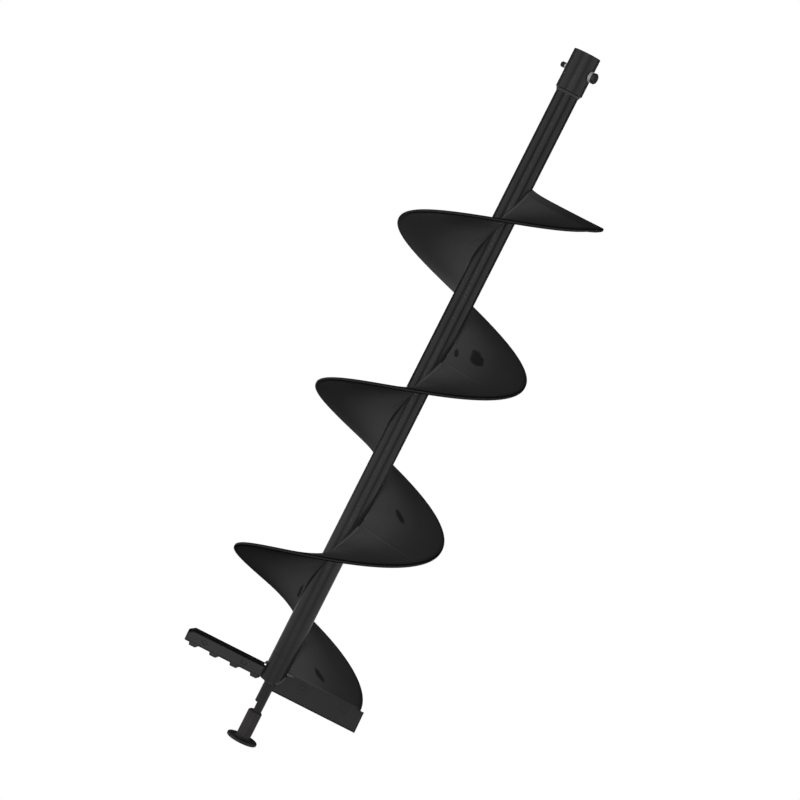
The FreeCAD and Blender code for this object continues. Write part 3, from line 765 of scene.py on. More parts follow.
# Same paint as the plain blade, made lighter as painted light: this blade's visible face looks down and
# gets less light.
TOOTHED_BLADE_LIGHTENED_COAT = BladeFinish(
    "toothed_blade_coat", Slot.BLADE_PAINT, (0.064, 0.064, 0.065), (0.056, 0.056, 0.056),
    roughness=0.45, wear=0.4, gloss=0.2, side=1.0,
)
WELD_COAT = PaintFinish(
    "painted_weld", Slot.WELD_BLACK, (0.05, 0.05, 0.051), (0.04, 0.04, 0.04),
    roughness=0.38, peel_height=0.05 * MM, wear=0.3, gloss=0.4,
)
PLAIN_SCREW_COAT = PaintFinish(
    "plain_blade_screw", Slot.SCREW_BLACK, (0.036, 0.036, 0.037), (0.032, 0.032, 0.032),
    wear=0.3, gloss=0.2,
)
# Made lighter as painted light, to match the toothed blade.
TOOTHED_SCREW_LIGHTENED_COAT = PaintFinish(
    "toothed_blade_screw", Slot.SCREW_BLACK, (0.06, 0.06, 0.061), (0.055, 0.055, 0.055),
    wear=0.3, gloss=0.2,
)
# Weld paint with light patches and bright edges: painted highlights on the corner spot and the rod's
# bead.
WELD_PAINTED_HIGHLIGHT = PaintFinish(
    "weld_painted_highlight", Slot.WELD_BLACK, (0.05, 0.05, 0.051), (0.16, 0.16, 0.155),
    roughness=0.36, peel_height=0.05 * MM, wear=1.0, gloss=0.5, edge_colour=(0.3, 0.3, 0.29),
)
ZINC_PLATE = SteelFinish(
    "zinc_plate", Slot.ZINC, (0.72, 0.72, 0.69), (0.58, 0.58, 0.54), metallic=0.55
)
BOLT_STEEL = BoltFinish(
    "painted_bolt", Slot.SCREW_BLACK, (0.8, 0.8, 0.78), (0.65, 0.65, 0.62), metallic=0.5
)
SLEEVE_STEEL = SteelFinish(
    "oiled_sleeve", Slot.SLEEVE_BROWN, (0.044, 0.038, 0.04), (0.032, 0.028, 0.029),
    roughness=0.34, metallic=0.25,
)
FOOT_STEEL = SteelFinish(
    "oiled_foot", Slot.FOOT_BLACK, (0.04, 0.037, 0.037), (0.028, 0.026, 0.026),
    roughness=0.36, metallic=0.3,
)


# ------------------------------------------------------------------ mesh making


def mesh_piece(name: str, points: Sequence[Point], faces: Sequence[Sequence[int]],
               finish: Finish, body: Body) -> bpy.types.Object:
    """Make a smooth-shaded mesh piece, with outward normals, that rides on a body.

    Args:
        name: the piece's name.
        points: its points.
        faces: its faces as point numbers.
        finish: its finish.
        body: the body it rides on.

    Returns:
        The new piece.
    """
    mesh = bpy.data.meshes.new(name)
    mesh.from_pydata([tuple(point) for point in points], [], [tuple(face) for face in faces])
    form = bmesh.new()
    form.from_mesh(mesh)
    bmesh.ops.recalc_face_normals(form, faces=form.faces)
    form.to_mesh(mesh)
    form.free()
    mesh.polygons.foreach_set("use_smooth", [True] * len(mesh.polygons))
    mesh.set_sharp_from_angle(angle=math.radians(CREASE_ANGLE))
    piece = bpy.data.objects.new(name, mesh)
    bpy.context.scene.collection.objects.link(piece)
    weight = piece.modifiers.new("even_shading", "WEIGHTED_NORMAL")
    weight.keep_sharp = True
    mesh.materials.append(finish.material())
    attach(piece, body.value)
    return piece


def softened(node: str, finish: Finish, body: Body, width: float) -> bpy.types.Object:
    """Stand a copy with rounded edges in place of a node.

    Args:
        node: the node to replace.
        finish: the copy's finish.
        body: the body it rides on.
        width: how far the rounding reaches from each edge.

    Returns:
        The new piece.
    """
    form = bmesh.new()
    form.from_mesh(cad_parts[node].data)
    bmesh.ops.remove_doubles(form, verts=form.verts, dist=MERGE_REACH)
    bmesh.ops.dissolve_limit(
        form, angle_limit=math.radians(FLAT_ANGLE), verts=form.verts, edges=form.edges
    )
    sharp = [edge for edge in form.edges if len(edge.link_faces) == 2
             and edge.calc_face_angle(0.0) > math.radians(BEVEL_ANGLE)]
    bmesh.ops.bevel(
        form, geom=sharp, offset=width, segments=2, profile=BEVEL_PROFILE, affect="EDGES",
        clamp_overlap=True,
    )
    form.verts.ensure_lookup_table()
    points = [tuple(vertex.co) for vertex in form.verts]
    faces = [[vertex.index for vertex in face.verts] for face in form.faces]
    form.free()
    piece = mesh_piece(f"{node}_softened", points, faces, finish, body)
    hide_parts(node)
    return piece


def rings_to_faces(rings: int, count: int) -> list[tuple]:
    """Quads that join a row of closed rings.

    Args:
        rings: how many rings there are.
        count: points on each ring.

    Returns:
        The faces.
    """
    faces = []
    for ring in range(rings - 1):
        low = ring * count
        for index in range(count):
            after = (index + 1) % count
            faces.append((low + index, low + after, low + count + after, low + count + index))
    return faces


def capped_rings(rings: int, count: int) -> list[tuple]:
    """Quads that join a row of closed rings, and a flat face over each end.

    Args:
        rings: how many rings there are.
        count: points on each ring.

    Returns:
        The faces.
    """
    last = (rings - 1) * count
    ends = [tuple(range(count)), tuple(range(last + count - 1, last - 1, -1))]
    return rings_to_faces(rings, count) + ends


def hexagon_reach(turn: float) -> float:
    """Distance from a hexagon's middle to its side, where the distance to its flats is 1.

    Args:
        turn: direction about the middle, in radians, with a corner at zero.

    Returns:
        The distance.
    """
    return 1.0 / math.cos((turn % (math.pi / 3)) - math.pi / 6)


@dataclass(frozen=True)
class Station:
    """One stop along a weld: its place, the bead's width direction and its outward direction."""

    place: Vector
    across: Vector
    outward: Vector


@dataclass(frozen=True)
class WeldBead:
    """A hand-laid weld bead: crescent ripples, wandering width and rounded ends."""

    half_width: float = 1.7 * MM
    crown: float = 0.9 * MM
    sunk: float = 0.8 * MM
    ripple: float = 1.5 * MM
    ripple_depth: float = 0.22
    seed: float = 0.0
    count: int = 11
    under_width: float = 0.6
    drift: float = 0.14
    drift_run: float = 6 * MM
    end_run: float = 1.3
    end_share: float = 0.08
    wander: float = 0.3
    wander_run: float = 4 * MM
    wander_row: float = 3.7
    crescent: float = 0.55
    break_at: float = 0.85
    grit: float = 0.06
    grit_across: float = 2.0

    def swell(self, run: float, length: float) -> float:
        """Share of the bead's full width at a distance along it.

        Args:
            run: distance from the bead's start.
            length: the bead's whole length.

        Returns:
            The share, near 1 and falling to nothing at both ends.
        """
        drift = self.drift * noise.noise(Vector((run / self.drift_run, self.seed, 0.0)))
        spot = min(run, length - run) / (self.end_run * self.half_width)
        ends = math.sqrt(max(0.0, 1.0 - (1.0 - min(1.0, spot)) ** 2))
        return (1.0 + drift) * max(self.end_share, ends)

    def crest(self, run: float, share: float) -> float:
        """Height of the ripples, as a share of the crown.

        Args:
            run: distance from the bead's start.
            share: place across the bead, from -1 to 1.

        Returns:
            The height's share.
        """
        wander = self.wander * noise.noise(Vector((run / self.wander_run, self.wander_row, self.seed)))
        phase = (run / self.ripple + self.crescent * share * share + wander) % 1.0
        fallen = phase ** 2
        if phase > self.break_at:
            fallen = self.break_at ** 2 * (1.0 - phase) / (1.0 - self.break_at)
        grit = self.grit * noise.noise(Vector((run / MM, share * self.grit_across, self.seed)))
        return 1.0 - self.ripple_depth * fallen + grit

    def lay(self, stations: Sequence[Station]) -> tuple[list, list]:
        """Lay the bead along its stations.

        Args:
            stations: stops along the weld, about a sixth of a ripple apart.

        Returns:
            Points and faces of a closed form.
        """
        pairs = list(zip(stations, stations[1:]))
        length = sum((after.place - before.place).length for before, after in pairs)
        points, run, before = [], 0.0, stations[0]
        for stop in stations:
            run += (stop.place - before.place).length
            before = stop
            swell = self.swell(run, length)
            for index in range(self.count):
                share = 2.0 * index / (self.count - 1) - 1.0
                arch = math.sqrt(max(0.0, 1.0 - share * share))
                height = self.crown * arch * swell * self.crest(run, share)
                points.append(stop.place + stop.across * (self.half_width * swell * share)
                              + stop.outward * height)
            for share in (self.under_width, -self.under_width):
                points.append(stop.place + stop.across * (self.half_width * swell * share)
                              - stop.outward * self.sunk * swell)
        return points, capped_rings(len(stations), self.count + 2)


def join_forms(forms: Sequence[tuple[list, list]]) -> tuple[list, list]:
    """Put several sets of points and faces together as one.

    Args:
        forms: (points, faces) of each.

    Returns:
        All the points and faces.
    """
    points, faces = [], []
    for some_points, some_faces in forms:
        shift = len(points)
        points += list(some_points)
        faces += [tuple(number + shift for number in face) for face in some_faces]
    return points, faces


def ring_stations(radius: float, level: float, start: float, end: float,
                  lean: float) -> list[Station]:
    """Stations round the axis.

    Args:
        radius: distance from the axis.
        level: height.
        start: first angle, in degrees.
        end: last angle, in degrees.
        lean: how far the bead's outward direction leans up from level, in degrees.

    Returns:
        The stations.
    """
    count = max(FEWEST_STEPS, round(radius * math.radians(end - start) / WELD_STEP))
    rise, reach = math.sin(math.radians(lean)), math.cos(math.radians(lean))
    stations = []
    for index in range(count + 1):
        turn = math.radians(start + (end - start) * index / count)
        out = Vector((math.cos(turn), math.sin(turn), 0.0))
        up = Vector((0.0, 0.0, 1.0))
        stations.append(Station(
            out * radius + up * level, out * rise - up * reach, out * reach + up * rise
        ))
    return stations


def line_stations(start: Vector, end: Vector, outward: Vector) -> list[Station]:
    """Stations along a straight line.

    Args:
        start: its first point.
        end: its last point.
        outward: the bead's outward direction.

    Returns:
        The stations.
    """
    count = max(FEWEST_STEPS, round((end - start).length / WELD_STEP))
    across = (end - start).cross(outward).normalized()
    return [
        Station(start.lerp(end, index / count), across, outward.normalized())
        for index in range(count + 1)
    ]


# ------------------------------------------------------------------ drive end


@dataclass
class DriveEnd:
    """Drive socket with its weld, and the cross bolt with its two washers."""

    bolt_drop: float = 20 * MM
    head_flats: float = 10 * MM
    head_height: float = 4 * MM
    head_foot: float = 0.25 * MM
    crown_share: float = 0.94
    crown_slope: float = 30.0
    shank_radius: float = 3 * MM
    thread_pitch: float = 1 * MM
    thread_depth: float = 0.5 * MM
    thread_length: float = 26 * MM
    groove_sides: float = 1.15
    end_bevel: float = 0.7 * MM
    shank_end: float = 22 * MM
    head_seat: float = 17.65 * MM
    edge: float = 0.4 * MM
    washer_edge: float = 0.15 * MM

    def build(self) -> list[bpy.types.Object]:
        """Build and dress the drive end.

        Returns:
            Its pieces.
        """
        return [
            softened("drive_socket", SOCKET_PAINT, Body.AUGER, self.edge),
            self.socket_bead(),
            self.bolt(),
            softened("cross_bolt_washer", ZINC_PLATE, Body.BOLT, self.washer_edge),
            softened("cross_bolt_spring_washer", ZINC_PLATE, Body.BOLT, self.washer_edge),
        ]

    def socket_bead(self) -> bpy.types.Object:
        """The bead round the stem under the socket.

        Returns:
            The piece.
        """
        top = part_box("socket_weld")[1].z
        bead = WeldBead(
            half_width=1.5 * MM, crown=0.5 * MM, sunk=0.5 * MM, ripple_depth=0.3, seed=3.0
        )
        stations = ring_stations(
            STEM_RADIUS + 0.4 * MM, top + 0.2 * MM, start=0, end=359, lean=-22
        )
        piece = mesh_piece("socket_bead", *bead.lay(stations), WELD_COAT, Body.AUGER)
        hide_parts("socket_weld")
        return piece

    def bolt(self) -> bpy.types.Object:
        """Hexagon head with a bevelled crown on a partly threaded shank.

        Returns:
            The piece.
        """
        points, faces = join_forms([self.head_form(), self.shank_form()])
        turn = Matrix.Rotation(math.radians(BOLT_TURN), 4, "Z")
        lay_down = Matrix.Rotation(math.radians(90), 4, "Y")
        drop = Matrix.Translation((0.0, 0.0, -self.bolt_drop))
        place = drop @ turn @ lay_down
        placed = [place @ Vector(point) for point in points]
        piece = mesh_piece("hexagon_bolt", placed, faces, BOLT_STEEL, Body.BOLT)
        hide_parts("cross_bolt")
        return piece

    def head_form(self) -> tuple[list, list]:
        """Head along +Z from its seat: a hexagon whose crown is cut by a cone.

        Returns:
            Points and faces.
        """
        count = 72
        flat = self.head_flats / 2
        rim = self.crown_share * flat
        drop = math.tan(math.radians(self.crown_slope))
        rows = [[], [], [], []]
        for index in range(count):
            turn = math.tau * index / count
            reach = flat * hexagon_reach(turn)
            shoulder = self.head_height - max(0.0, reach - rim) * drop
            profile = (
                (rim, 0.0), (reach, self.head_foot), (reach, shoulder), (rim, self.head_height)
            )
            for row, (radius, height) in zip(rows, profile):
                row.append((radius * math.cos(turn), radius * math.sin(turn),
                            self.head_seat + height))
        return [point for row in rows for point in row], capped_rings(len(rows), count)

    def shank_form(self) -> tuple[list, list]:
        """Shank along -Z from the head's seat, threaded towards its end.

        Returns:
            Points and faces.
        """
        count, step = 36, 0.125 * MM
        top = self.head_seat
        bottom = -self.shank_end
        rings = round((top - bottom) / step)
        points = []
        for ring in range(rings + 1):
            height = bottom + (top - bottom) * ring / rings
            into_thread = (bottom + self.thread_length - height) / (2 * self.thread_pitch)
            depth = self.thread_depth * min(1.0, max(0.0, into_thread))
            end_cut = max(0.0, self.end_bevel - (height - bottom))
            for index in range(count):
                turn = math.tau * index / count
                wave = (height / self.thread_pitch - turn / math.tau) % 1.0
                groove = depth * max(0.0, 1.0 - abs(2.0 * wave - 1.0) * self.groove_sides)
                radius = min(self.shank_radius - groove, self.shank_radius - end_cut)
                points.append((radius * math.cos(turn), radius * math.sin(turn), height))
        return points, capped_rings(rings + 1, count)


# ------------------------------------------------------------------ stem and flight


@dataclass
class Stem:
    """The stem tube."""

    edge: float = 0.1 * MM

    def build(self) -> list[bpy.types.Object]:
        """Dress the tube.

        Returns:
            Its pieces.
        """
        return [softened("stem_tube", STEM_PAINT, Body.AUGER, self.edge)]


@dataclass
class Flight:
    """Three sections of helical plate with their root and seam beads."""

    pitch: float = 190.8 * MM
    end_pitch: float = 115 * MM
    end_turns: float = 0.06
    turns: float = 2.905
    start_level: float = HEAD_LEVEL
    rim: float = 98 * MM
    root: float = STEM_RADIUS + 0.1 * MM
    plate: float = 3.8 * MM
    rim_round: float = 1.45 * MM
    rim_steps: int = 4
    blade_gap: float = 0.2 * MM
    step: float = 2.0
    waviness: float = 0.35 * MM
    waves_per_turn: float = 5.0
    waves_across: float = 1.3
    wave_row: float = 7.1
    wave_growth: float = 12.0
    root_start: float = 0.05
    root_overrun: float = 0.03
    root_break: float = 0.02
    root_gap: float = 0.7 * MM
    root_step: float = 0.3 * MM
    seam_inner: float = 3 * MM
    seam_outer: float = 1.5 * MM
    stitch_start: float = 0.43
    stitch_turns: float = 0.07
    stitch_gap: float = 0.6 * MM

    def build(self) -> list[bpy.types.Object]:
        """Build and dress the flight.

        Returns:
            Its pieces.
        """
        first = self.turns - 2
        pieces = [
            self.section("flight_lower", 0.0, first),
            self.section("flight_middle", first, first + 1),
            self.section("flight_upper", first + 1, self.turns + self.end_turns),
            self.root_beads(),
            self.stitch_beads(),
        ]
        pieces += [self.seam_bead(number, turn) for number, turn in ((1, first), (2, first + 1))]
        return pieces

    def level(self, turn: float) -> float:
        """Height of the plate's middle after some turns from its lower end.

        Args:
            turn: turns from the lower end.

        Returns:
            The height.
        """
        flat = max(0.0, turn - self.turns)
        return self.start_level + self.pitch * (turn - flat) + self.end_pitch * flat

    def outward(self, turn: float) -> Vector:
        """Level direction away from the axis after some turns.

        Args:
            turn: turns from the lower end.

        Returns:
            The direction.
        """
        return Vector((math.cos(math.tau * turn), math.sin(math.tau * turn), 0.0))

    def half_height(self, radius: float) -> float:
        """Half of the plate's height at a radius.

        Args:
            radius: distance from the axis.

        Returns:
            Half the height, which grows towards the stem.
        """
        lean = self.pitch / (math.tau * radius)
        return self.plate / 2 * math.sqrt(1 + lean * lean)

    def outline(self) -> list[tuple[float, float]]:
        """The plate's section as (radius, offset from its middle), once round.

        Returns:
            The section's points.
        """
        span = self.rim - self.root
        shares = (0.0, 0.03, 0.07, 0.13, 0.2, 0.3, 0.42, 0.55, 0.68, 0.8, 0.9, 0.96)
        radii = [self.root + share * span for share in shares]
        top = [(radius, self.half_height(radius)) for radius in radii]
        half = self.half_height(self.rim)
        corner = []
        for step in range(self.rim_steps + 1):
            turn = math.radians(90 - 90 * step / self.rim_steps)
            corner.append((
                self.rim - self.rim_round * (1 - math.cos(turn)),
                half - self.rim_round * (1 - math.sin(turn)),
            ))
        upper = top + corner
        lower = [(radius, -offset) for radius, offset in reversed(upper)]
        return upper + lower

    def wave(self, turn: float, radius: float) -> float:
        """How far the plate strays from a true helix.

        Args:
            turn: turns from the lower end.
            radius: distance from the axis.

        Returns:
            The stray height, which grows towards the rim.
        """
        share = (radius - self.root) / (self.rim - self.root)
        place = Vector((self.waves_per_turn * turn, self.waves_across * share, self.wave_row))
        ends = min(1.0, self.wave_growth * turn)
        return self.waviness * share * ends * noise.noise(place)

    def section(self, node: str, start: float, end: float) -> bpy.types.Object:
        """One section of the plate.

        Args:
            node: the node it stands for.
            start: turns from the lower end to its start.
            end: turns from the lower end to its end.

        Returns:
            The piece.
        """
        outline = self.outline()
        rings = math.ceil((end - start) * 360 / self.step)
        points = []
        for ring in range(rings + 1):
            for radius, offset in outline:
                begin = start + (self.blade_bevel(radius, offset) if start == 0.0 else 0.0)
                turn = begin + (end - begin) * ring / rings
                angle = math.tau * turn
                height = self.level(turn) + offset + self.wave(turn, radius)
                points.append((radius * math.cos(angle), radius * math.sin(angle), height))
        count = len(outline)
        faces = rings_to_faces(rings + 1, count)
        half = count // 2
        for low in (0, rings * count):
            for index in range(half - 1):
                faces.append((low + index, low + index + 1,
                              low + count - 2 - index, low + count - 1 - index))
        piece = mesh_piece(f"{node}_plate", points, faces, FLIGHT_COAT, Body.AUGER)
        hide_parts(node)
        return piece

    def blade_bevel(self, radius: float, offset: float) -> float:
        """Turns that the lower end is cut back so that it lies on the blade's rear face.

        Args:
            radius: distance from the axis.
            offset: height above the plate's middle.

        Returns:
            The turns cut back.
        """
        slope = 1.0 / math.tan(math.radians(BLADE_SLOPE))
        rise = self.pitch / math.tau
        angle = max(0.0, (self.blade_gap - offset) / (rise + slope * radius))
        return angle / math.tau

    def corner_station(self, turn: float, gap: float, side: int) -> Station:
        """Station in the corner between stem and plate.

        Args:
            turn: turns from the lower end.
            gap: distance from the stem's side and from the plate.
            side: 1 on top of the plate, -1 under it.

        Returns:
            The station.
        """
        reach = self.root + gap
        out = self.outward(turn)
        along = Vector((-out.y * reach, out.x * reach, self.pitch / math.tau)).normalized()
        facing = out.cross(along) * side
        height = self.level(turn) + side * (self.half_height(reach) + gap)
        place = out * reach + Vector((0.0, 0.0, height))
        return Station(place, (out - facing).normalized(), (out + facing).normalized())

    def root_beads(self) -> bpy.types.Object:
        """The bead on top of the plate, along the stem, section by section.

        Returns:
            The piece.
        """
        forms = []
        first = self.turns - 2
        seams = (first, first + 1)
        starts = (self.root_start, *(seam + self.root_break for seam in seams))
        ends = (*(seam - self.root_break for seam in seams), self.turns + self.root_overrun)
        one_turn = math.hypot(self.pitch, math.tau * (self.root + self.root_gap))
        for number, (start, end) in enumerate(zip(starts, ends)):
            bead = WeldBead(half_width=1.8 * MM, crown=0.7 * MM, ripple=1.8 * MM, seed=float(number))
            count = round((end - start) * one_turn / self.root_step)
            forms.append(bead.lay([
                self.corner_station(start + (end - start) * index / count, self.root_gap, 1)
                for index in range(count + 1)
            ]))
        piece = mesh_piece("root_beads", *join_forms(forms), WELD_COAT, Body.AUGER)
        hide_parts("flight_root_welds")
        return piece

    def seam_bead(self, number: int, turn: float) -> bpy.types.Object:
        """A flat bead where two sections meet, ground nearly flush.

        Args:
            number: the seam's number.
            turn: turns from the lower end to the seam.

        Returns:
            The piece.
        """
        out = self.outward(turn)
        count = 260
        stations = []
        for index in range(count + 1):
            span = self.rim - self.root - self.seam_inner - self.seam_outer
            radius = self.root + self.seam_inner + span * index / count
            across = Vector((-out.y * radius, out.x * radius, self.pitch / math.tau)).normalized()
            height = self.level(turn) + self.half_height(radius)
            stations.append(Station(
                out * radius + Vector((0.0, 0.0, height)), across, out.cross(across)
            ))
        bead = WeldBead(half_width=1.6 * MM, crown=0.22 * MM, sunk=0.3 * MM, ripple_depth=0.15,
                        seed=9.0 + number)
        return mesh_piece(f"seam_bead_{number}", *bead.lay(stations), FLIGHT_COAT, Body.AUGER)

    def stitch_beads(self) -> bpy.types.Object:
        """Short beads under the plate, along the stem, one on every turn.

        Returns:
            The piece.
        """
        forms = []
        count = 48
        for number in range(3):
            start = number + self.stitch_start
            bead = WeldBead(half_width=1.7 * MM, crown=0.8 * MM, seed=50.0 + number)
            forms.append(bead.lay([
                self.corner_station(start + self.stitch_turns * index / count, self.stitch_gap, -1)
                for index in range(count + 1)
            ]))
        return mesh_piece("stitch_beads", *join_forms(forms), WELD_COAT, Body.AUGER)


# ------------------------------------------------------------------ cutting head


@dataclass
class CuttingHead:
    """Plain and toothed blades on their holders, with screws and welds."""

    edge: float = 0.35 * MM
    seam_edge: float = 0.1 * MM
    rear_level: float = HEAD_LEVEL
    forward: float = 0.1 * MM
    hub_radius: float = STEM_RADIUS
    screw_reaches: tuple[float, float] = (34 * MM, 80 * MM)
    screw_line: float = 8.5 * MM
    screw_radius: float = 2.5 * MM
    screw_head: float = 4.94 * MM
    stack: float = 6.1 * MM
    key: float = 1.5 * MM
    key_depth: float = 1.4 * MM
    sunk: float = 0.1 * MM
    screw_edge: float = 0.25 * MM
    rear_bead_start: float = 6.5 * MM
    rear_bead_length: float = 76 * MM
    corner_bead_run: Point = (8.5 * MM, 0.6 * MM, 0.4 * MM)
    hub_bead_start: float = -62.0
    hub_bead_sweep: float = 50.0
    hub_bead_gap: float = 0.3 * MM

    def build(self) -> list[bpy.types.Object]:
        """Build and dress the cutting head.

        Returns:
            Its pieces.
        """
        nodes = (
            ("plain_blade", PLAIN_BLADE_COAT, self.edge),
            ("plain_blade_holder", PLAIN_BLADE_COAT, self.edge),
            ("toothed_blade", TOOTHED_BLADE_LIGHTENED_COAT, self.edge),
            ("toothed_blade_holder", TOOTHED_BLADE_LIGHTENED_COAT, self.edge),
            ("hub_plug", STEM_PAINT, self.seam_edge),
        )
        pieces = [softened(node, finish, Body.AUGER, width) for node, finish, width in nodes]
        pieces.append(self.screws("plain_blade_screws", 0.0, PLAIN_SCREW_COAT))
        pieces.append(self.screws("toothed_blade_screws", 180.0, TOOTHED_SCREW_LIGHTENED_COAT))
        pieces += [self.holder_bead(), self.rear_bead(), self.corner_bead(), self.hub_bead()]
        return pieces

    def seat(self, turn: float) -> Matrix:
        """Placement of a blade: its rear edge along X, its top face level before tilting.

        Args:
            turn: the blade's direction about the axis, in degrees.

        Returns:
            The placement.
        """
        aside = Matrix.Rotation(math.radians(turn), 4, "Z")
        shift = Matrix.Translation((0.0, -self.forward, self.rear_level))
        return aside @ shift @ Matrix.Rotation(math.radians(BLADE_SLOPE), 4, "X")

    def screws(self, node: str, turn: float, finish: PaintFinish) -> bpy.types.Object:
        """Two countersunk screws with hexagon recesses.

        Args:
            node: the node they stand for.
            turn: the blade's direction about the axis, in degrees.
            finish: the paint over them.

        Returns:
            The piece.
        """
        forms = []
        for reach in self.screw_reaches:
            place = self.seat(turn) @ Matrix.Translation((reach, -self.screw_line, 0.0))
            points, faces = self.screw_form()
            forms.append(([place @ Vector(point) for point in points], faces))
        piece = mesh_piece(f"{node}_made", *join_forms(forms), finish, Body.AUGER)
        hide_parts(node)
        return piece

    def screw_form(self) -> tuple[list, list]:
        """One screw along -Z, its head's face just under zero.

        Returns:
            Points and faces.
        """
        count = 48
        low = -self.sunk
        head, shank = self.screw_head, self.screw_radius
        # Each row is a radius, a height and how far its ring is a hexagon.
        rows = (
            (self.key * 0.2, low - self.key_depth - 0.3 * MM, 1.0),
            (self.key, low - self.key_depth, 1.0),
            (self.key, low - 0.15 * MM, 1.0),
            (self.key * 1.15, low, 0.6),
            (head - self.screw_edge, low + 0.03 * MM, 0.0),
            (head, low - 0.12 * MM, 0.0),
            (shank, low - head + shank, 0.0),
            (shank, -self.stack + self.screw_edge, 0.0),
            (shank - self.screw_edge, -self.stack, 0.0),
        )
        points = []
        for radius, height, hexed in rows:
            for index in range(count):
                turn = math.tau * index / count
                reach = radius * (1.0 + hexed * (hexagon_reach(turn) - 1.0))
                points.append((reach * math.cos(turn), reach * math.sin(turn), height))
        return points, capped_rings(len(rows), count)

    def holder_bead(self) -> bpy.types.Object:
        """The bead on the hub above the toothed blade.

        Returns:
            The piece.
        """
        low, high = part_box("holder_weld")
        leg = high.z - low.z
        bead = WeldBead(half_width=0.7 * leg, crown=0.35 * leg, seed=21.0)
        stations = ring_stations(
            self.hub_radius + 0.4 * leg, low.z + 0.45 * leg, start=152, end=208, lean=45
        )
        piece = mesh_piece("holder_bead", *bead.lay(stations), WELD_COAT, Body.AUGER)
        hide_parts("holder_weld")
        return piece

    def rear_bead(self) -> bpy.types.Object:
        """A low bead along the plain blade's rear edge.

        Returns:
            The piece.
        """
        outward = Vector((0.0, -0.45, 1.0))
        reach = self.hub_radius + self.rear_bead_start
        start = Vector((reach, -self.forward, self.rear_level + 0.1 * MM))
        end = start + Vector((self.rear_bead_length, 0.0, 0.0))
        bead = WeldBead(half_width=1.1 * MM, crown=0.35 * MM, sunk=0.4 * MM, ripple_depth=0.1, seed=34.0)
        stations = line_stations(start, end, outward)
        return mesh_piece("rear_bead", *bead.lay(stations), WELD_COAT, Body.AUGER)

    def corner_bead(self) -> bpy.types.Object:
        """A thick spot of weld in the corner of hub, flight and plain blade, with a painted highlight.

        Returns:
            The piece.
        """
        start = Vector((self.hub_radius - 0.6 * MM, -0.6 * MM, self.rear_level + 0.2 * MM))
        end = start + Vector(self.corner_bead_run)
        bead = WeldBead(half_width=2.2 * MM, crown=1.3 * MM, sunk=1.2 * MM, seed=33.0)
        stations = line_stations(start, end, Vector((0.0, -0.7, 1.0)))
        return mesh_piece("corner_bead", *bead.lay(stations), WELD_PAINTED_HIGHLIGHT, Body.AUGER)

    def hub_bead(self) -> bpy.types.Object:
        """The bead where the hub meets the plain blade's top face.

        Returns:
            The piece.
        """
        slope = math.radians(BLADE_SLOPE)
        tilt = math.tan(slope)
        face = Vector((0.0, -math.sin(slope), math.cos(slope)))
        stations = []
        count = 60
        for index in range(count + 1):
            turn = math.radians(self.hub_bead_start + self.hub_bead_sweep * index / count)
            out = Vector((math.cos(turn), math.sin(turn), 0.0))
            edge = out * (self.hub_radius + self.hub_bead_gap)
            edge.z = self.rear_level + (edge.y + self.forward) * tilt + self.hub_bead_gap
            along = Vector((-out.y, out.x, out.x * tilt)).normalized()
            outward = (out + face).normalized()
            stations.append(Station(edge, along.cross(outward).normalized(), outward))
        bead = WeldBead(half_width=1.8 * MM, crown=0.7 * MM, seed=27.0)
        return mesh_piece("hub_bead", *bead.lay(stations), WELD_COAT, Body.AUGER)


# ------------------------------------------------------------------ pilot


@dataclass
class Pilot:
    """Pilot rod, its weld, and the foot that turns on it."""

    edge: float = 0.3 * MM
    washer_edge: float = 0.12 * MM
    screw_edge: float = 0.15 * MM
    rod_radius: float = 6 * MM

    def build(self) -> list[bpy.types.Object]:
        """Build and dress the pilot.

        Returns:
            Its pieces.
        """
        return [
            softened("pilot_rod", STEM_PAINT, Body.AUGER, self.edge),
            self.rod_bead(),
            softened("foot_washer", ZINC_PLATE, Body.AUGER, self.washer_edge),
            softened("foot_screw", ZINC_PLATE, Body.AUGER, self.screw_edge),
            softened("pilot_sleeve", SLEEVE_STEEL, Body.FOOT, self.edge),
            softened("pilot_foot", FOOT_STEEL, Body.FOOT, self.edge),
        ]

    def rod_bead(self) -> bpy.types.Object:
        """The bead round the rod under the hub.

        Returns:
            The piece.
        """
        low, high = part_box("pilot_weld")
        leg = high.z - low.z
        bead = WeldBead(half_width=0.8 * leg, crown=0.55 * leg, ripple=1.9 * MM, seed=41.0)
        stations = ring_stations(
            self.rod_radius + 0.5 * leg, high.z - 0.5 * leg, start=20, end=379, lean=-45
        )
        # Its finish carries a painted highlight.
        piece = mesh_piece("rod_bead", *bead.lay(stations), WELD_PAINTED_HIGHLIGHT, Body.AUGER)
        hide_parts("pilot_weld")
        return piece


# ------------------------------------------------------------------ studio


class Reach(Enum):
    """What a light acts on."""

    MATT = "matt surfaces only"
    ALL = "matt surfaces and reflections"


@dataclass(frozen=True)
class SoftBox:
    """One soft light: an area light that faces the auger."""

    name: str
    azimuth: float
    height: float
    distance: float
    width: float
    tall: float
    radiance: float
    reach: Reach = Reach.ALL

    def build(self, target: Vector) -> bpy.types.Object:
        """Hang the light.

        Args:
            target: the point it faces.

        Returns:
            The light.
        """
        light = bpy.data.lights.new(self.name, "AREA")
        light.shape = "RECTANGLE"
        light.size = self.width
        light.size_y = self.tall
        light.energy = self.radiance * math.pi * self.width * self.tall
        lamp = bpy.data.objects.new(self.name, light)
        turn = math.radians(self.azimuth)
        lamp.location = (
            self.distance * math.sin(turn), -self.distance * math.cos(turn), self.height
        )
        level = Vector((target.x, target.y, self.height))
        lamp.rotation_euler = (level - lamp.location).to_track_quat("-Z", "Y").to_euler()
        lamp.visible_camera = False
        lamp.visible_glossy = self.reach is Reach.ALL
        bpy.context.scene.collection.objects.link(lamp)
        return lamp


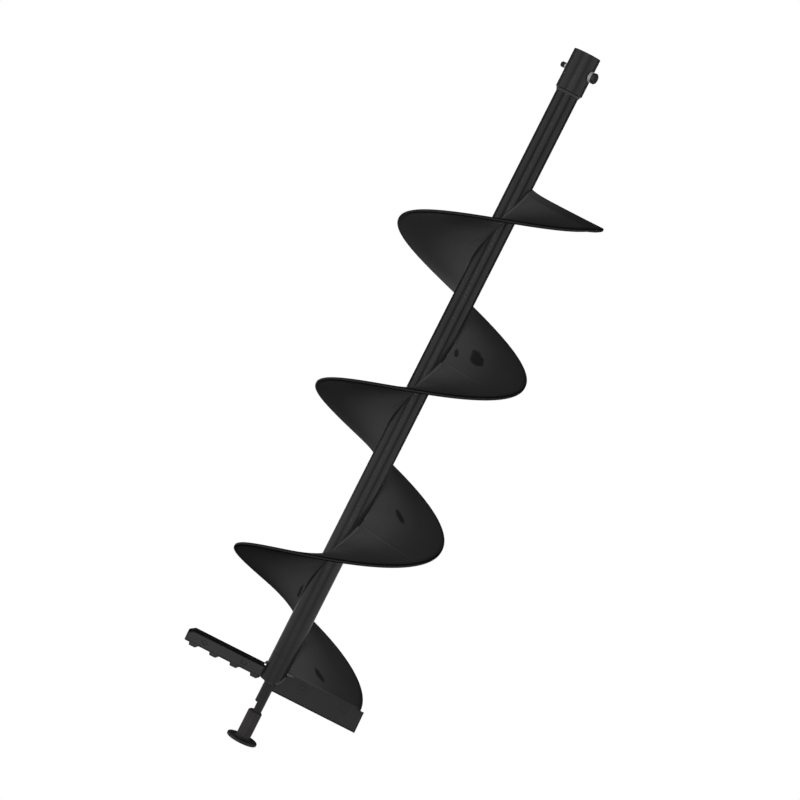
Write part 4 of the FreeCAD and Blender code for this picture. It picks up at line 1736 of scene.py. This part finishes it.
@dataclass(frozen=True)
class Camera:
    """A long lens by the auger's upper part, that looks a little down and is rolled aslant."""

    distance: float = 2.7614
    across: float = -0.0004
    height: float = -0.1748
    turn: float = -0.239
    dip: float = 4.76
    roll: float = 26.79
    focal: float = 120.14
    sensor: float = 36.0
    farthest: float = 200.0

    def build(self) -> bpy.types.Object:
        """Set up the camera and make it the scene's own.

        Returns:
            The camera.
        """
        turn, dip, roll = (math.radians(angle) for angle in (self.turn, self.dip, self.roll))
        ahead = Vector((math.sin(turn) * math.cos(dip), math.cos(turn) * math.cos(dip), -math.sin(dip)))
        level = Vector((math.cos(turn), -math.sin(turn), 0.0))
        above = level.cross(ahead)
        right = math.cos(roll) * level + math.sin(roll) * above
        up = math.cos(roll) * above - math.sin(roll) * level
        lens = bpy.data.cameras.new("camera")
        lens.lens = self.focal
        lens.sensor_width = self.sensor
        lens.clip_end = self.farthest
        camera = bpy.data.objects.new("camera", lens)
        facing = Matrix((right, up, -ahead)).transposed().to_4x4()
        camera.matrix_world = Matrix.Translation((self.across, -self.distance, self.height)) @ facing
        bpy.context.scene.collection.objects.link(camera)
        bpy.context.scene.camera = camera
        return camera


@dataclass
class Studio:
    """Pale floor, soft lights, backdrop and camera."""

    floor_level: float = -1.15
    floor_size: float = 120.0
    target: Point = (0.0, 0.0, -0.4)
    paleness: float = 1.0
    bounce: float = 0.04
    floor_glow: float = 0.42
    glow_ring: tuple[float, float, float, float] = (1.2, 1.9, 3.6, 6.5)
    lights: tuple[SoftBox, ...] = (
        SoftBox("front_key", -8.0, -0.4, 6.0, 2.0, 2.0, 26.0, Reach.MATT),
        SoftBox("left_fill", -100.0, -0.4, 6.0, 2.0, 2.0, 8.0, Reach.MATT),
        SoftBox("right_fill", 100.0, -0.4, 6.0, 2.0, 2.0, 8.0, Reach.MATT),
        SoftBox("rear_left_fill", -152.0, -0.4, 6.0, 2.0, 2.0, 24.0, Reach.MATT),
        SoftBox("rear_right_fill", 152.0, -0.4, 6.0, 2.0, 2.0, 24.0, Reach.MATT),
        SoftBox("front_panel", 0.0, -0.5, 3.3, 3.2, 3.2, 0.54),
        SoftBox("left_panel", -78.0, -0.5, 3.0, 3.3, 3.2, 0.45),
        SoftBox("right_panel", 78.0, -0.5, 3.0, 3.3, 3.2, 0.45),
    )

    def build(self) -> list[bpy.types.Object]:
        """Build the studio.

        Returns:
            The floor and the lights.
        """
        bpy.context.scene.view_settings.view_transform = "Standard"
        target = Vector(self.target)
        lamps = [light.build(target) for light in self.lights]
        self.backdrop()
        Camera().build()
        return [self.floor(), *lamps]

    def floor(self) -> bpy.types.Object:
        """A wide pale floor, well below the auger, with a ring of glow that only reflections see.

        The ring lights the lower stem. It leaves the middle out, so that undersides stay dark.

        Returns:
            The floor.
        """
        half = self.floor_size / 2
        mesh = bpy.data.meshes.new("floor")
        corners = [(-half, -half), (half, -half), (half, half), (-half, half)]
        mesh.from_pydata([(x, y, self.floor_level) for x, y in corners], [], [(0, 1, 2, 3)])
        floor = bpy.data.objects.new("floor", mesh)
        bpy.context.scene.collection.objects.link(floor)
        material, board = bare_material("pale_floor")
        ray = board.add("LightPath")
        pale = board.add("Emission", {"Color": (1, 1, 1, 1), "Strength": self.paleness})
        matt = board.add("BsdfDiffuse", {"Color": (self.bounce, self.bounce, self.bounce, 1)})
        away = board.length(board.flattened(board.here()))
        begins, full, fades, ends = self.glow_ring
        ring = board.math("MULTIPLY", board.ramp(away, begins, full), board.ramp(away, ends, fades))
        fade = board.math("MULTIPLY", ring, self.floor_glow)
        glow = board.add("Emission", {"Color": (1, 1, 1, 1), "Strength": fade})
        unseen = board.add(
            "MixShader", {0: ray.outputs["Is Glossy Ray"], 1: matt.outputs[0], 2: glow.outputs[0]}
        )
        both = board.add(
            "MixShader", {0: ray.outputs["Is Camera Ray"], 1: unseen.outputs[0], 2: pale.outputs[0]}
        )
        finish_output(board, both)
        mesh.materials.append(material)
        return floor

    def backdrop(self) -> None:
        """White behind everything, with a dim even fill from all round."""
        world = bpy.data.worlds.new("studio")
        bpy.context.scene.world = world
        world.use_nodes = True
        board = NodeBoard(world.node_tree)
        board.tree.nodes.clear()
        seen = board.add("LightPath").outputs["Is Camera Ray"]
        strength = board.add(
            "MapRange", {"Value": seen, "To Min": self.bounce, "To Max": self.paleness}
        )
        light = board.add("Background", {"Strength": strength.outputs["Result"]})
        light.inputs["Color"].default_value = (1, 1, 1, 1)
        sink = board.tree.nodes.new("ShaderNodeOutputWorld")
        board.feed(sink.inputs["Surface"], light.outputs[0])


# ------------------------------------------------------------------ whole scene


def main() -> None:
    """Build the studio, then the auger from the drive end down."""
    logging.basicConfig(level=logging.INFO, format="%(name)s: %(message)s")
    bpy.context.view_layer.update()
    Studio().build()
    for part in (DriveEnd(), Stem(), Flight(), CuttingHead(), Pilot()):
        for piece in part.build():
            LOG.info("%s: %s, %d faces", type(part).__name__, piece.name, len(piece.data.polygons))


if __name__ == "__main__":
    main()
